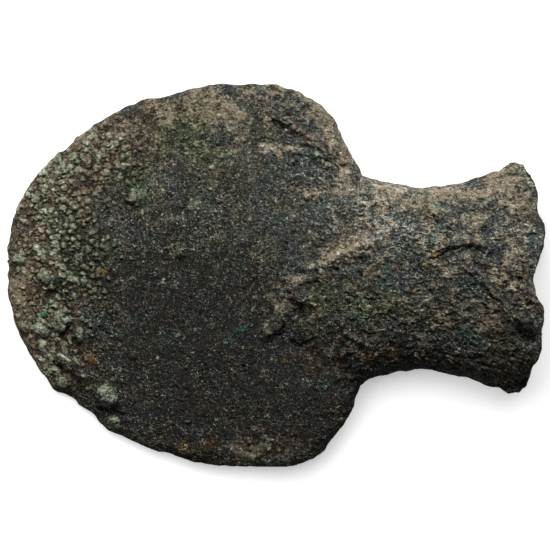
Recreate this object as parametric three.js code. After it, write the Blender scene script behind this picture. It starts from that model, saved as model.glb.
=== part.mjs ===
// A socketed bronze axe head, cast in one piece: a broad oval blade, a waisted neck, and a hollow haft socket
// that opens at the flared, broken mouth. Millimetres, +Z up. +X runs from the cutting edge to the mouth.
// The head lies on the belly of the mouth and the underside of the cutting edge, so its middle plane climbs
// from the edge to the mouth. The origin is on the surface it lies on, under the middle of its box.
import * as THREE from "three";
import { mergeVertices } from "three/addons/utils/BufferGeometryUtils.js";

// ---- Plan of the blade: four quarters of a superellipse about the centre line ---------------------------------
const EDGE_X = -53.8; // foremost point of the cutting edge
const EDGE_Y = 2.8; // where that point lies across the blade
const BLADE = {
  upper: { reach: 38.4, widest: -7.0, back: 18.1, front: [1.87, 2.08], rear: [2.95, 2.75] },
  lower: { reach: -38.4, widest: -5.2, back: 19.5, front: [1.9, 2.22], rear: [2.95, 2.05] },
};

// ---- Plan of the neck: a waist that opens into the blade's shoulders and flares to the mouth -------------------
const NECK = {
  upper: { waist: 17.9, at: 30.1, flare: 4.6, bend: 1.8, root: 2.1 },
  lower: { waist: -18.9, at: 29.0, flare: -4.9, bend: 1.4, root: -3.8 },
};
const FLARE_X = 49; // where the flare is full
const ROOT_X = 17; // where the neck runs into the shoulders
const NECK_FADE = [-6, 6]; // the neck's outline dies away inside the blade between these
const JOIN_POWER = 14; // a higher power makes a sharper corner between blade and neck

// ---- Thickness: a wedge, with the socket's tube rising out of it -----------------------------------------------
const EDGE_HALF = 0.9; // half thickness of the blunted cutting edge
const BODY_HALF = 4.4; // half thickness of the blade's body
const BODY_X = 16; // where the body reaches it
const EDGE_ROUND = 1.6; // length over which the cutting edge rounds off
const LENS = [2.4, 1.8]; // powers of the blade's lens-shaped section
const WAIST_X = 33;
const WAIST_HALF = 8.7; // half thickness of the tube at the waist
const MOUTH_HALF = 11.4; // half thickness of the tube at the mouth
const TUBE = [2.3, 2.1]; // powers of the tube's oval section
const TONGUE = { slope: 0.041, sag: 0.0023, width: 20.5, taper: 0.3 }; // how the tube sinks into the blade
const SWELL_POWER = 6; // how the tube and the blade blend in thickness
const EDGE_HEIGHT = 0.7; // height of the middle plane at the cutting edge
const RISE = 0.0977; // climb of the middle plane for each millimetre towards the mouth

// ---- Socket ----------------------------------------------------------------------------------------------------
const MOUTH_X = 54.7; // where the rim reaches furthest
const RIM_ZONE = 10; // the length of wall that follows the ragged rim
const WALL = 2.7; // thickness of the wall at the mouth
const SEAT_X = 3; // flat floor that the haft's end met
const SEAT_HALF_WIDTH = 12.5;
const SEAT_HALF_HEIGHT = 2.6;

// ---- Facets ----------------------------------------------------------------------------------------------------
const STATIONS = 52; // rings from the cutting edge to the rim
const COLUMNS_ABOVE = 46;
const COLUMNS_BELOW = 28;
const SOCKET_RINGS = 9;

// Losses and swellings of the outline: a place on it, how far round it they reach, and the push.
const EDGE_MARKS = [
  { name: "flaked chip", at: [-40.5, -26.8], reach: 5.2, push: [0.9, 1.1] },
  { name: "worn flat", at: [-41, 25], reach: 7, push: [0.3, -0.35] },
  { name: "full stretch", at: [-31, 32.5], reach: 8, push: [-0.2, 0.5] },
  { name: "full shoulder", at: [10, 34], reach: 9, push: [0.2, 0.25] },
  { name: "full lower shoulder", at: [9, -36.5], reach: 10, push: [0.4, -0.5] },
  { name: "nick", at: [12.6, -31], reach: 2.4, push: [-0.5, 0.2] },
];

// Breaks in the rim: where they lie across the mouth, their half width and depth, and which walls they cut.
const RIM_BREAKS = [
  { at: -0.8, half: 4.8, depth: 3.3, walls: [1, -1] },
  { at: 12.5, half: 3, depth: 0.5, walls: [1, -1] },
  { at: 5.6, half: 2.6, depth: 0.9, walls: [1] },
  { at: -9.4, half: 2.2, depth: 0.9, walls: [1] },
  { at: 0, half: 30, depth: 0.2, walls: [-1] },
  { at: 14, half: 5, depth: 1.2, walls: [-1] },
  { at: -17, half: 4, depth: 1.0, walls: [-1] },
];
const RIM_CORNER = { upper: 4.5, lower: 5.4, power: 2.8 }; // how the rim falls back to its corners

// Rounded forms on the upper face, corrosion tubercles and pits: place, radius and height.
const LUMPS = [
  { name: "great tubercle", at: [-33.7, -24.2], radius: 3.2, height: 1.6 },
  { name: "chip lump", at: [-32.3, -29.6], radius: 2.2, height: 0.9 },
  { name: "edge lump", at: [-42.5, -21.8], radius: 2.3, height: 0.8 },
  { name: "round nodule", at: [-43.2, -9.3], radius: 2.6, height: 1.1 },
  { name: "rough nodule", at: [-47.2, -11.1], radius: 2.6, height: 1.0 },
  { name: "long nodule", at: [-39.7, -11.9], radius: 2.4, height: 0.9 },
  { name: "low nodule", at: [-42.5, -14.1], radius: 2.3, height: 0.8 },
  { name: "outer nodule", at: [-47.0, -16.4], radius: 2.3, height: 0.8 },
  { name: "edge disc", at: [-51.2, 3.7], radius: 1.8, height: 0.6 },
  { name: "inner disc", at: [-46.4, -0.1], radius: 2.0, height: 0.7 },
  { name: "mid cluster", at: [-18.9, 4.5], radius: 2.2, height: 0.7 },
  { name: "upper cluster", at: [-28.5, 15.6], radius: 2.6, height: 0.7 },
  { name: "teal lump", at: [-7.0, -11.5], radius: 2.2, height: 0.6 },
  { name: "lower edge lump", at: [-4.0, -36.0], radius: 2.4, height: 0.8 },
  { name: "flake scar", at: [-39.4, -25.2], radius: 3.6, height: -0.6 },
  { name: "neck dimple", at: [30.5, 10.1], radius: 2.3, height: -1.0 },
  { name: "mouth hollow", at: [48.6, -0.9], radius: 2.4, height: -1.0 },
  { name: "rim hollow", at: [49.9, -11.8], radius: 3.0, height: -1.3 },
];

// Long forms on the upper face, crust ridges, ledges and grooves: their line, half width and height.
const RIDGES = [
  { name: "crust ridge", line: [[18, 7.1], [14, 4.7], [8, 1.1], [3, -2.9], [-2.6, -11.9]], half: 2.4, height: 0.8 },
  { name: "shoulder groove", line: [[0, 32.2], [11, 25.2]], half: 2.0, height: -0.6 },
  { name: "root groove", line: [[4, 22.4], [15, 22.0]], half: 1.8, height: -0.7 },
  { name: "socket ledge", line: [[33, 6.4], [40, 6.4], [43, 5.0]], half: 1.8, height: 0.7 },
  { name: "slant ledge", line: [[38.8, -0.4], [43.8, -5.4]], half: 1.6, height: 0.6 },
  { name: "rim ledge", line: [[46.5, -8.2], [51.5, -10.5]], half: 1.6, height: 0.7 },
  { name: "nodule row", line: [[-44.8, -16.2], [-38.7, -19.6]], half: 1.6, height: 0.8 },
  { name: "lower lip of the edge", line: [[-24, -34.2], [-15, -35.4], [-7, -36]], half: 1.8, height: 0.5 },
];

const { clamp, lerp, smoothstep } = THREE.MathUtils;
const powerSum = (a, b, power) => (a ** power + b ** power) ** (1 / power);
const oval = (q, [along, across]) => (1 - Math.min(Math.abs(q), 1) ** along) ** (1 / across);

// A repeatable number from 0 to 1 for a lattice point.
function lattice(i, j) {
  const value = Math.sin(i * 127.1 + j * 311.7) * 43758.5453;
  return value - Math.floor(value);
}

// Smooth noise from -1 to 1 on a unit lattice.
function noise(x, y) {
  const [i, j] = [Math.floor(x), Math.floor(y)];
  const [u, v] = [smoothstep(x - i, 0, 1), smoothstep(y - j, 0, 1)];
  const near = lerp(lattice(i, j), lattice(i + 1, j), u);
  const far = lerp(lattice(i, j + 1), lattice(i + 1, j + 1), u);
  return 2 * lerp(near, far, v) - 1;
}

// Offset of one side of the blade's outline from the centre line at x.
function bladeSide(side, x) {
  const ahead = x < side.widest;
  const reach = ahead ? side.widest - EDGE_X : side.back - side.widest;
  const share = clamp((x - side.widest) / reach, -1, 1);
  return lerp(ahead ? EDGE_Y : 0, side.reach, oval(share, ahead ? side.front : side.rear));
}

// Offset of one side of the neck's outline from the centre line at x.
function neckSide(side, x) {
  const flare = side.flare * clamp((x - side.at) / (FLARE_X - side.at), 0, 1) ** side.bend;
  const root = side.root * clamp((side.at - x) / (side.at - ROOT_X), 0, 1.5) ** 2;
  return (side.waist + flare + root) * smoothstep(x, ...NECK_FADE);
}

// Middle and half width of the whole outline at x: the union of blade and neck.
function outline(x) {
  const [upper, lower] = ["upper", "lower"].map((name) => {
    const blade = bladeSide(BLADE[name], x);
    const neck = neckSide(NECK[name], x);
    return neck ? Math.sign(neck) * powerSum(Math.abs(blade), Math.abs(neck), JOIN_POWER) : blade;
  });
  return { middle: (upper + lower) / 2, half: (upper - lower) / 2 };
}

// Half thickness of the blade alone. q runs from -1 to 1 across the section.
function bladeHalf(x, q) {
  const along = clamp((x - EDGE_X) / (BODY_X - EDGE_X), 0, 1);
  const body = lerp(EDGE_HALF, BODY_HALF, 1 - (1 - along) ** 1.8);
  const closing = clamp((x - EDGE_X) / EDGE_ROUND, 0, 1);
  return body * Math.sqrt(1 - (1 - closing) ** 2) * oval(q, LENS);
}

// Half thickness of the socket's tube, which sinks into the blade as a tongue.
function tubeHalf(x, y, half) {
  const inside = Math.max(WAIST_X - x, 0);
  const flare = clamp((x - WAIST_X) / (FLARE_X - WAIST_X), 0, 1.1) ** 1.7;
  const crown = lerp(WAIST_HALF, MOUTH_HALF, flare) - TONGUE.slope * inside - TONGUE.sag * inside ** 2;
  const width = Math.min(half, TONGUE.width - TONGUE.taper * Math.max(ROOT_X - x, 0));
  return Math.max(crown, 0) * oval(y / width, TUBE);
}

// Height of the middle plane above the surface the head lies on.
const middleHeight = (x) => EDGE_HEIGHT + RISE * (x - EDGE_X);

// How far the rim of one wall falls back at y.
function rimBack(y, face) {
  const reach = Math.abs(y + 0.6) / 22.7;
  const corner = (y > 0 ? RIM_CORNER.upper : RIM_CORNER.lower) * Math.min(reach, 1.05) ** RIM_CORNER.power;
  return RIM_BREAKS.filter(({ walls }) => walls.includes(face)).reduce(
    (sum, { at, half, depth }) => sum + depth * Math.exp(-(((y - at) / half) ** 2)),
    corner,
  );
}

// Plan position after the rim's breaks and the outline's marks have moved it. Both walls meet at the sides of
// the mouth, so a wall's own breaks fade out there.
function worn(x, y, q, face) {
  const share = clamp((x - MOUTH_X + RIM_ZONE) / RIM_ZONE, 0, 1);
  const own = smoothstep(1 - Math.abs(q), 0, 0.2);
  const back = lerp((rimBack(y, 1) + rimBack(y, -1)) / 2, rimBack(y, face), own);
  const plan = new THREE.Vector2(x - share * back, y);
  for (const { at, reach, push } of EDGE_MARKS) {
    const away = plan.distanceTo(new THREE.Vector2(...at)) / reach;
    if (away < 1) plan.addScaledVector(new THREE.Vector2(...push), (1 - away ** 2) ** 2);
  }
  return plan;
}

// Distance from a point to a broken line, all in plan.
function distanceToLine(x, y, line) {
  const spans = line.slice(1).map((end, i) => {
    const [ax, ay] = line[i];
    const [dx, dy] = [end[0] - ax, end[1] - ay];
    const along = clamp(((x - ax) * dx + (y - ay) * dy) / (dx * dx + dy * dy), 0, 1);
    return Math.hypot(x - ax - along * dx, y - ay - along * dy);
  });
  return Math.min(...spans);
}

const dome = (away, height) => (away < 1 ? height * (1 - away ** 2) ** 1.5 : 0);

// Slow unevenness of the corroded skin.
const unevenness = (x, y) => 0.28 * noise(x / 11, y / 11) + 0.17 * noise(x / 5 + 7, y / 5);

// Height of everything that stands out of the upper face.
function relief(x, y) {
  const lumps = LUMPS.map(({ at, radius, height }) => dome(Math.hypot(x - at[0], y - at[1]) / radius, height));
  const ridges = RIDGES.map(({ line, half, height }) => dome(distanceToLine(x, y, line) / half, height));
  return [...lumps, ...ridges].reduce((sum, height) => sum + height, unevenness(x, y));
}

// A point of the outer skin. face is 1 above and -1 below.
function skin(x, q, face) {
  const { middle, half } = outline(x);
  const y = middle + half * q;
  const thickness = powerSum(bladeHalf(x, q), tubeHalf(x, half * q, half), SWELL_POWER);
  const plan = worn(x, y, q, face);
  const raised = face > 0 ? relief(plan.x, plan.y) : unevenness(plan.x + 40, plan.y);
  const z = middleHeight(x) + face * (thickness + Math.min(thickness, 1) * raised);
  return new THREE.Vector3(plan.x, plan.y, Math.max(z, 0));
}

// A point of the socket's inner wall, which tapers from the mouth to the flat seat.
function bore(x, q, face) {
  const { middle, half } = outline(FLARE_X);
  const share = clamp((x - SEAT_X) / (MOUTH_X - SEAT_X), 0, 1);
  const width = lerp(SEAT_HALF_WIDTH, half - WALL, share);
  const height = lerp(SEAT_HALF_HEIGHT, MOUTH_HALF - WALL, share);
  const plan = worn(x, middle + width * q, q, face);
  return new THREE.Vector3(plan.x, plan.y, middleHeight(x) + face * height * oval(q, TUBE));
}

// Stations along X, spaced evenly along the outline so that the round blade is evenly divided.
function stations() {
  const samples = 2000;
  const at = (k) => lerp(EDGE_X, MOUTH_X, (k / samples) ** 2);
  const travel = [0];
  for (let k = 1; k <= samples; k++) {
    const turn = outline(at(k)).half - outline(at(k - 1)).half;
    travel.push(travel[k - 1] + Math.hypot(at(k) - at(k - 1), turn));
  }
  return Array.from({ length: STATIONS }, (_, i) => {
    const goal = (travel[samples] * (i + 0.35)) / (STATIONS + 0.35);
    return at(travel.findIndex((length) => length >= goal));
  });
}

// The ring's columns: over the upper face from one side to the other, and back below.
function columns() {
  const across = (t) => 0.2 * t + 0.8 * Math.sin((Math.PI * t) / 2);
  const above = Array.from({ length: COLUMNS_ABOVE }, (_, j) => [across(1 - (2 * j) / COLUMNS_ABOVE), 1]);
  const below = Array.from({ length: COLUMNS_BELOW }, (_, j) => [across(-1 + (2 * j) / COLUMNS_BELOW), -1]);
  return [...above, ...below];
}

// The whole surface: a pole at the cutting edge, the outer skin, round the rim, and down the socket to its seat.
function axeGeometry() {
  const ring = columns();
  const depths = Array.from({ length: SOCKET_RINGS }, (_, i) => lerp(MOUTH_X - 1, SEAT_X, i / (SOCKET_RINGS - 1)));
  const lip = (share) => ring.map(([q, face]) => skin(MOUTH_X, q, face).lerp(bore(MOUTH_X, q, face), share));
  const rings = [
    ...stations().map((x) => ring.map(([q, face]) => skin(x, q, face))),
    lip(0.3),
    lip(0.7),
    ...depths.map((x) => ring.map(([q, face]) => bore(x, q, face))),
  ];
  const seat = new THREE.Vector3(SEAT_X, outline(FLARE_X).middle, middleHeight(SEAT_X));
  const points = [skin(EDGE_X, 0, 1), ...rings.flat(), seat];
  const n = ring.length;
  const last = 1 + (rings.length - 1) * n;
  const faces = [];
  for (let j = 0; j < n; j++) {
    const next = (j + 1) % n;
    faces.push(0, 1 + next, 1 + j, points.length - 1, last + j, last + next);
    for (let i = 0; i + 1 < rings.length; i++) {
      const [a, b] = [1 + i * n + j, 1 + i * n + next];
      faces.push(a, b, a + n, b, b + n, a + n);
    }
  }
  return mergeVertices(new THREE.BufferGeometry().setFromPoints(points).setIndex(faces), 1e-4);
}

const patina = new THREE.MeshStandardMaterial({ color: "#3b3a35", roughness: 0.9, metalness: 0.15 });
patina.name = "corroded bronze";

const head = new THREE.Mesh(axeGeometry(), patina);
head.name = "axe_head";

const axe = new THREE.Group();
axe.add(head);
export default axe;
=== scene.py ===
"""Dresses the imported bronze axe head: a socketed casting, long buried, that lies on a pale floor.

The casting and the corrosion that has grown over it are surfaces worked out with numpy from the sizes of the
axe, in millimetres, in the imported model's own frame: +X from the cutting edge to the socket mouth, +Z up.
"""

import logging
import math
from dataclasses import dataclass
from enum import Enum, IntEnum
from functools import lru_cache

import bpy
import numpy as np
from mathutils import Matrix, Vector


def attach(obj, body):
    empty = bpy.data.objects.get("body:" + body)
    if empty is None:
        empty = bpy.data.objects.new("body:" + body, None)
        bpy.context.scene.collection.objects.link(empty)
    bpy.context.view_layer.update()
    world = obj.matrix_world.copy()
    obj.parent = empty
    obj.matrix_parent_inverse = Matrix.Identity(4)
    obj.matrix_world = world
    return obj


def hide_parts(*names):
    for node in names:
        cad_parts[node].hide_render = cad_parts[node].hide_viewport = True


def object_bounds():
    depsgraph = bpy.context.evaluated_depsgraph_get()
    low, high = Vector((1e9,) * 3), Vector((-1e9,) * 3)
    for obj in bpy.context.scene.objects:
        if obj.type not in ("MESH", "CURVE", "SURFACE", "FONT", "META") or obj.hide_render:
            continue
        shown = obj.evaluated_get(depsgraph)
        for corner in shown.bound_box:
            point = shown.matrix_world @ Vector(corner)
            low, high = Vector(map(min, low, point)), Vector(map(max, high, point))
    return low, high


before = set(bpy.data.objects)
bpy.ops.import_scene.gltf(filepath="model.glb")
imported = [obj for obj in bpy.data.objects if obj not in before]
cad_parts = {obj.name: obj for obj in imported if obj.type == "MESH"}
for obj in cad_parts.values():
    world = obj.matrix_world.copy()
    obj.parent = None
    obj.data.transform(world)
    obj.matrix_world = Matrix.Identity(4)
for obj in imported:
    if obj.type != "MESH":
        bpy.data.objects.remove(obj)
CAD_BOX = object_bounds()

logging.basicConfig(level=logging.INFO, format="%(message)s")
LOG = logging.getLogger("axe_head")

Array = np.ndarray
MM = 0.001  # metres in a millimetre
NODE = "axe_head"
BODY = "root"


# ---- Small mathematics ---------------------------------------------------------------------------


def power_sum(a: Array, b: Array, power: float) -> Array:
    """The rounded larger of two lengths: the root of the sum of their powers."""
    return (a**power + b**power) ** (1 / power)


def oval(q: Array, powers: tuple[float, float]) -> Array:
    """Height at q, from -1 to 1, of a superellipse of half width and half height 1."""
    return (1 - np.minimum(np.abs(q), 1) ** powers[0]) ** (1 / powers[1])


def smoothstep(x: Array, low: float, high: float) -> Array:
    """0 below low, 1 above high, and a smooth ramp between them."""
    t = np.clip((x - low) / (high - low), 0, 1)
    return t * t * (3 - 2 * t)


def lerp(a: Array, b: Array, share: Array) -> Array:
    """The point that lies this share of the way from a to b."""
    return a + (b - a) * share


def dome(away: Array, height: float) -> Array:
    """A rounded mound: full height at 0 and nothing from 1 on."""
    return height * np.clip(1 - away**2, 0, 1) ** 1.5


def distance_to_line(x: Array, y: Array, line: tuple[tuple[float, float], ...]) -> Array:
    """Distance in plan from each point to a broken line.

    Args:
        x: Places along the axe.
        y: Places across it.
        line: The line's corners.

    Returns:
        The shortest distance to any of its spans.
    """
    best = np.full(np.broadcast(x, y).shape, np.inf)
    for (ax, ay), (bx, by) in zip(line, line[1:]):
        dx, dy = bx - ax, by - ay
        along = np.clip(((x - ax) * dx + (y - ay) * dy) / max(dx * dx + dy * dy, 1e-9), 0, 1)
        best = np.minimum(best, np.hypot(x - ax - along * dx, y - ay - along * dy))
    return best


def each(kind: type, rows: tuple[tuple, ...]) -> tuple:
    """One thing of a kind for each row of its values."""
    return tuple(kind(*row) for row in rows)


# ---- Noise ---------------------------------------------------------------------------------------


class Seed(IntEnum):
    """The random lattice that each pattern draws on."""

    DRIFT = 3
    WANDER = 4
    WARP = 7
    STRAY = 10
    KNOBS = 13
    BEADS = 14
    GRAIN = 19
    PITS = 23
    WRINKLES = 33
    BROKEN = 37
    RIM = 41
    TEAL = 43
    THREADS = 51
    FINE_THREADS = 61
    CRESTS = 71



@lru_cache(maxsize=None)
def lattice_values(seed: int) -> Array:
    """Four random numbers for each point of a repeating lattice, 128 by 128 by 16 points."""
    return np.random.default_rng(seed).random((128, 128, 16, 4), dtype=np.float32)


@dataclass(frozen=True)
class Noise:
    """Repeatable noise in space, from random numbers held at lattice points."""

    seed: int

    def corner_values(self, low: Array, step: tuple[int, ...]) -> Array:
        """The four numbers of the lattice points that lie a step away from each cube's low corner."""
        i, j, k = (low[:, a] + step[a] for a in range(3))
        return lattice_values(self.seed)[i & 127, j & 127, k & 15]

    @staticmethod
    def cube(p: Array, pitch: float) -> tuple[Array, Array]:
        """The low corner of each point's lattice cube, and the point's place in that cube."""
        place = p / pitch
        low = np.floor(place).astype(np.int32)
        return low, (place - low).astype(np.float32)

    def strays(self, p: Array, pitch: float) -> Array:
        """Smooth noise in each of the three directions, from three lattices."""
        return np.stack([Noise(self.seed + n).gradient(p, pitch) for n in range(3)], -1)

    def gradient(self, p: Array, pitch: float) -> Array:
        """Smooth noise: slopes drawn at lattice points, blended across each cube.

        Args:
            p: Points, one row each, in millimetres.
            pitch: The lattice's spacing.

        Returns:
            A value of about -1 to 1 for each point.
        """
        low, f = self.cube(p, pitch)
        w = f * f * f * (f * (f * 6 - 15) + 10)
        total = np.zeros(len(p), np.float32)
        for corner in np.ndindex(2, 2, 2):
            slopes = 2 * self.corner_values(low, corner)[:, :3] - 1
            side = np.array(corner, np.float32)
            weight = np.prod(1 - side + (2 * side - 1) * w, axis=1)
            total += weight * np.sum(slopes * (f - side), axis=1)
        return total * 1.7

    def ridged(self, p: Array, pitch: float, octaves: int) -> Array:
        """Sharp crests: one less the size of gradient noise, squared, in layers; from 0 to 1."""
        total, weight = np.zeros(len(p), np.float32), 0.0
        for n in range(octaves):
            size = np.abs(Noise(self.seed + 17 * n).gradient(p, pitch / 2**n)) * 1.6
            total += 0.5**n * (1 - np.minimum(size, 1)) ** 2
            weight += 0.5**n
        return total / weight

    def threads(self, p: Array, pitch: float, half: float) -> Array:
        """Thin curved crests, from 0 to 1: where gradient noise changes sign, broken into short lengths."""
        line = np.clip(1 - np.abs(self.gradient(p, pitch)) / half, 0, 1)
        return line * smoothstep(Noise(self.seed + 5).gradient(p, pitch * 1.3), -0.2, 0.15)

    def layered(self, p: Array, pitch: float, octaves: int, fall: float = 0.5) -> Array:
        """Gradient noise with finer and weaker layers added, each half the pitch of the last."""
        total = np.zeros(len(p), np.float32)
        for n in range(octaves):
            total += fall**n * Noise(self.seed + 17 * n).gradient(p, pitch / 2**n)
        return total

    def cells(self, p: Array, pitch: float) -> tuple[Array, Array, Array]:
        """Cells round scattered points, one point in each lattice cube.

        Args:
            p: Points, one row each, in millimetres.
            pitch: The cubes' size.

        Returns:
            The distances to the nearest and second nearest scattered point as shares of the pitch, and a
            number from 0 to 1 that belongs to the nearest.
        """
        low, f = self.cube(p, pitch)
        first = np.full(len(p), 9.0, np.float32)
        second = first.copy()
        name = np.zeros(len(p), np.float32)
        for step in np.ndindex(3, 3, 3):
            offset = np.array(step, np.float32) - 1
            drawn = self.corner_values(low, tuple(int(s) for s in offset))
            away = np.sum((f - offset - 0.1 - 0.8 * drawn[:, :3]) ** 2, axis=1)
            nearer = away < first
            second = np.minimum(second, np.maximum(first, away))
            name = np.where(nearer, drawn[:, 3], name)
            first = np.minimum(first, away)
        return np.sqrt(first), np.sqrt(second), name


def plan_noise(x: Array, y: Array) -> Array:
    """Smooth noise from -1 to 1 over the plan, on a unit lattice of sine hashes."""

    def corner(i: Array, j: Array) -> Array:
        """A lattice point's own number, from 0 to 1."""
        value = np.sin(i * 127.1 + j * 311.7) * 43758.5453
        return value - np.floor(value)

    i, j = np.floor(x), np.floor(y)
    u, v = smoothstep(x - i, 0, 1), smoothstep(y - j, 0, 1)
    near = lerp(corner(i, j), corner(i + 1, j), u)
    far = lerp(corner(i, j + 1), corner(i + 1, j + 1), u)
    return 2 * lerp(near, far, v) - 1


# ---- The axe's form ------------------------------------------------------------------------------


@dataclass(frozen=True)
class BladeSide:
    """One side of the blade's outline: two quarters of a superellipse."""

    reach: float
    widest: float
    back: float
    front: tuple[float, float]
    rear: tuple[float, float]

    def offset(self, x: Array, edge_x: float, edge_y: float) -> Array:
        """Offset of the outline from the centre line at x."""
        ahead = x < self.widest
        length = np.where(ahead, self.widest - edge_x, self.back - self.widest)
        share = np.clip((x - self.widest) / length, -1, 1)
        fullness = np.where(ahead, oval(share, self.front), oval(share, self.rear))
        return lerp(np.where(ahead, edge_y, 0.0), self.reach, fullness)


@dataclass(frozen=True)
class NeckSide:
    """One side of the neck's outline: a waist, a root in the blade and a flare to the mouth."""

    waist: float
    at: float
    flare: float
    bend: float
    root: float

    def offset(self, x: Array, root_x: float, flare_x: float) -> Array:
        """Offset of the outline from the centre line at x."""
        flare = self.flare * np.clip((x - self.at) / (flare_x - self.at), 0, 1) ** self.bend
        root = self.root * np.clip((self.at - x) / (self.at - root_x), 0, 1.5) ** 2
        return self.waist + flare + root


@dataclass(frozen=True)
class EdgeMark:
    """A loss or swelling of the outline: its place, how far round it it reaches, and the push."""

    at: tuple[float, float]
    reach: float
    push: tuple[float, float]


@dataclass(frozen=True)
class RimBreak:
    """A break in the socket's rim: place across the mouth, half width, depth, and the walls it cuts."""

    at: float
    half: float
    depth: float
    walls: tuple[int, ...]


@dataclass(frozen=True)
class Lump:
    """A rounded mound on the upper face, or a pit where its height is negative."""

    at: tuple[float, float]
    radius: float
    height: float


@dataclass(frozen=True)
class Ridge:
    """A long mound on the upper face along a broken line, or a groove where its height is negative."""

    line: tuple[tuple[float, float], ...]
    half: float
    height: float


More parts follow.
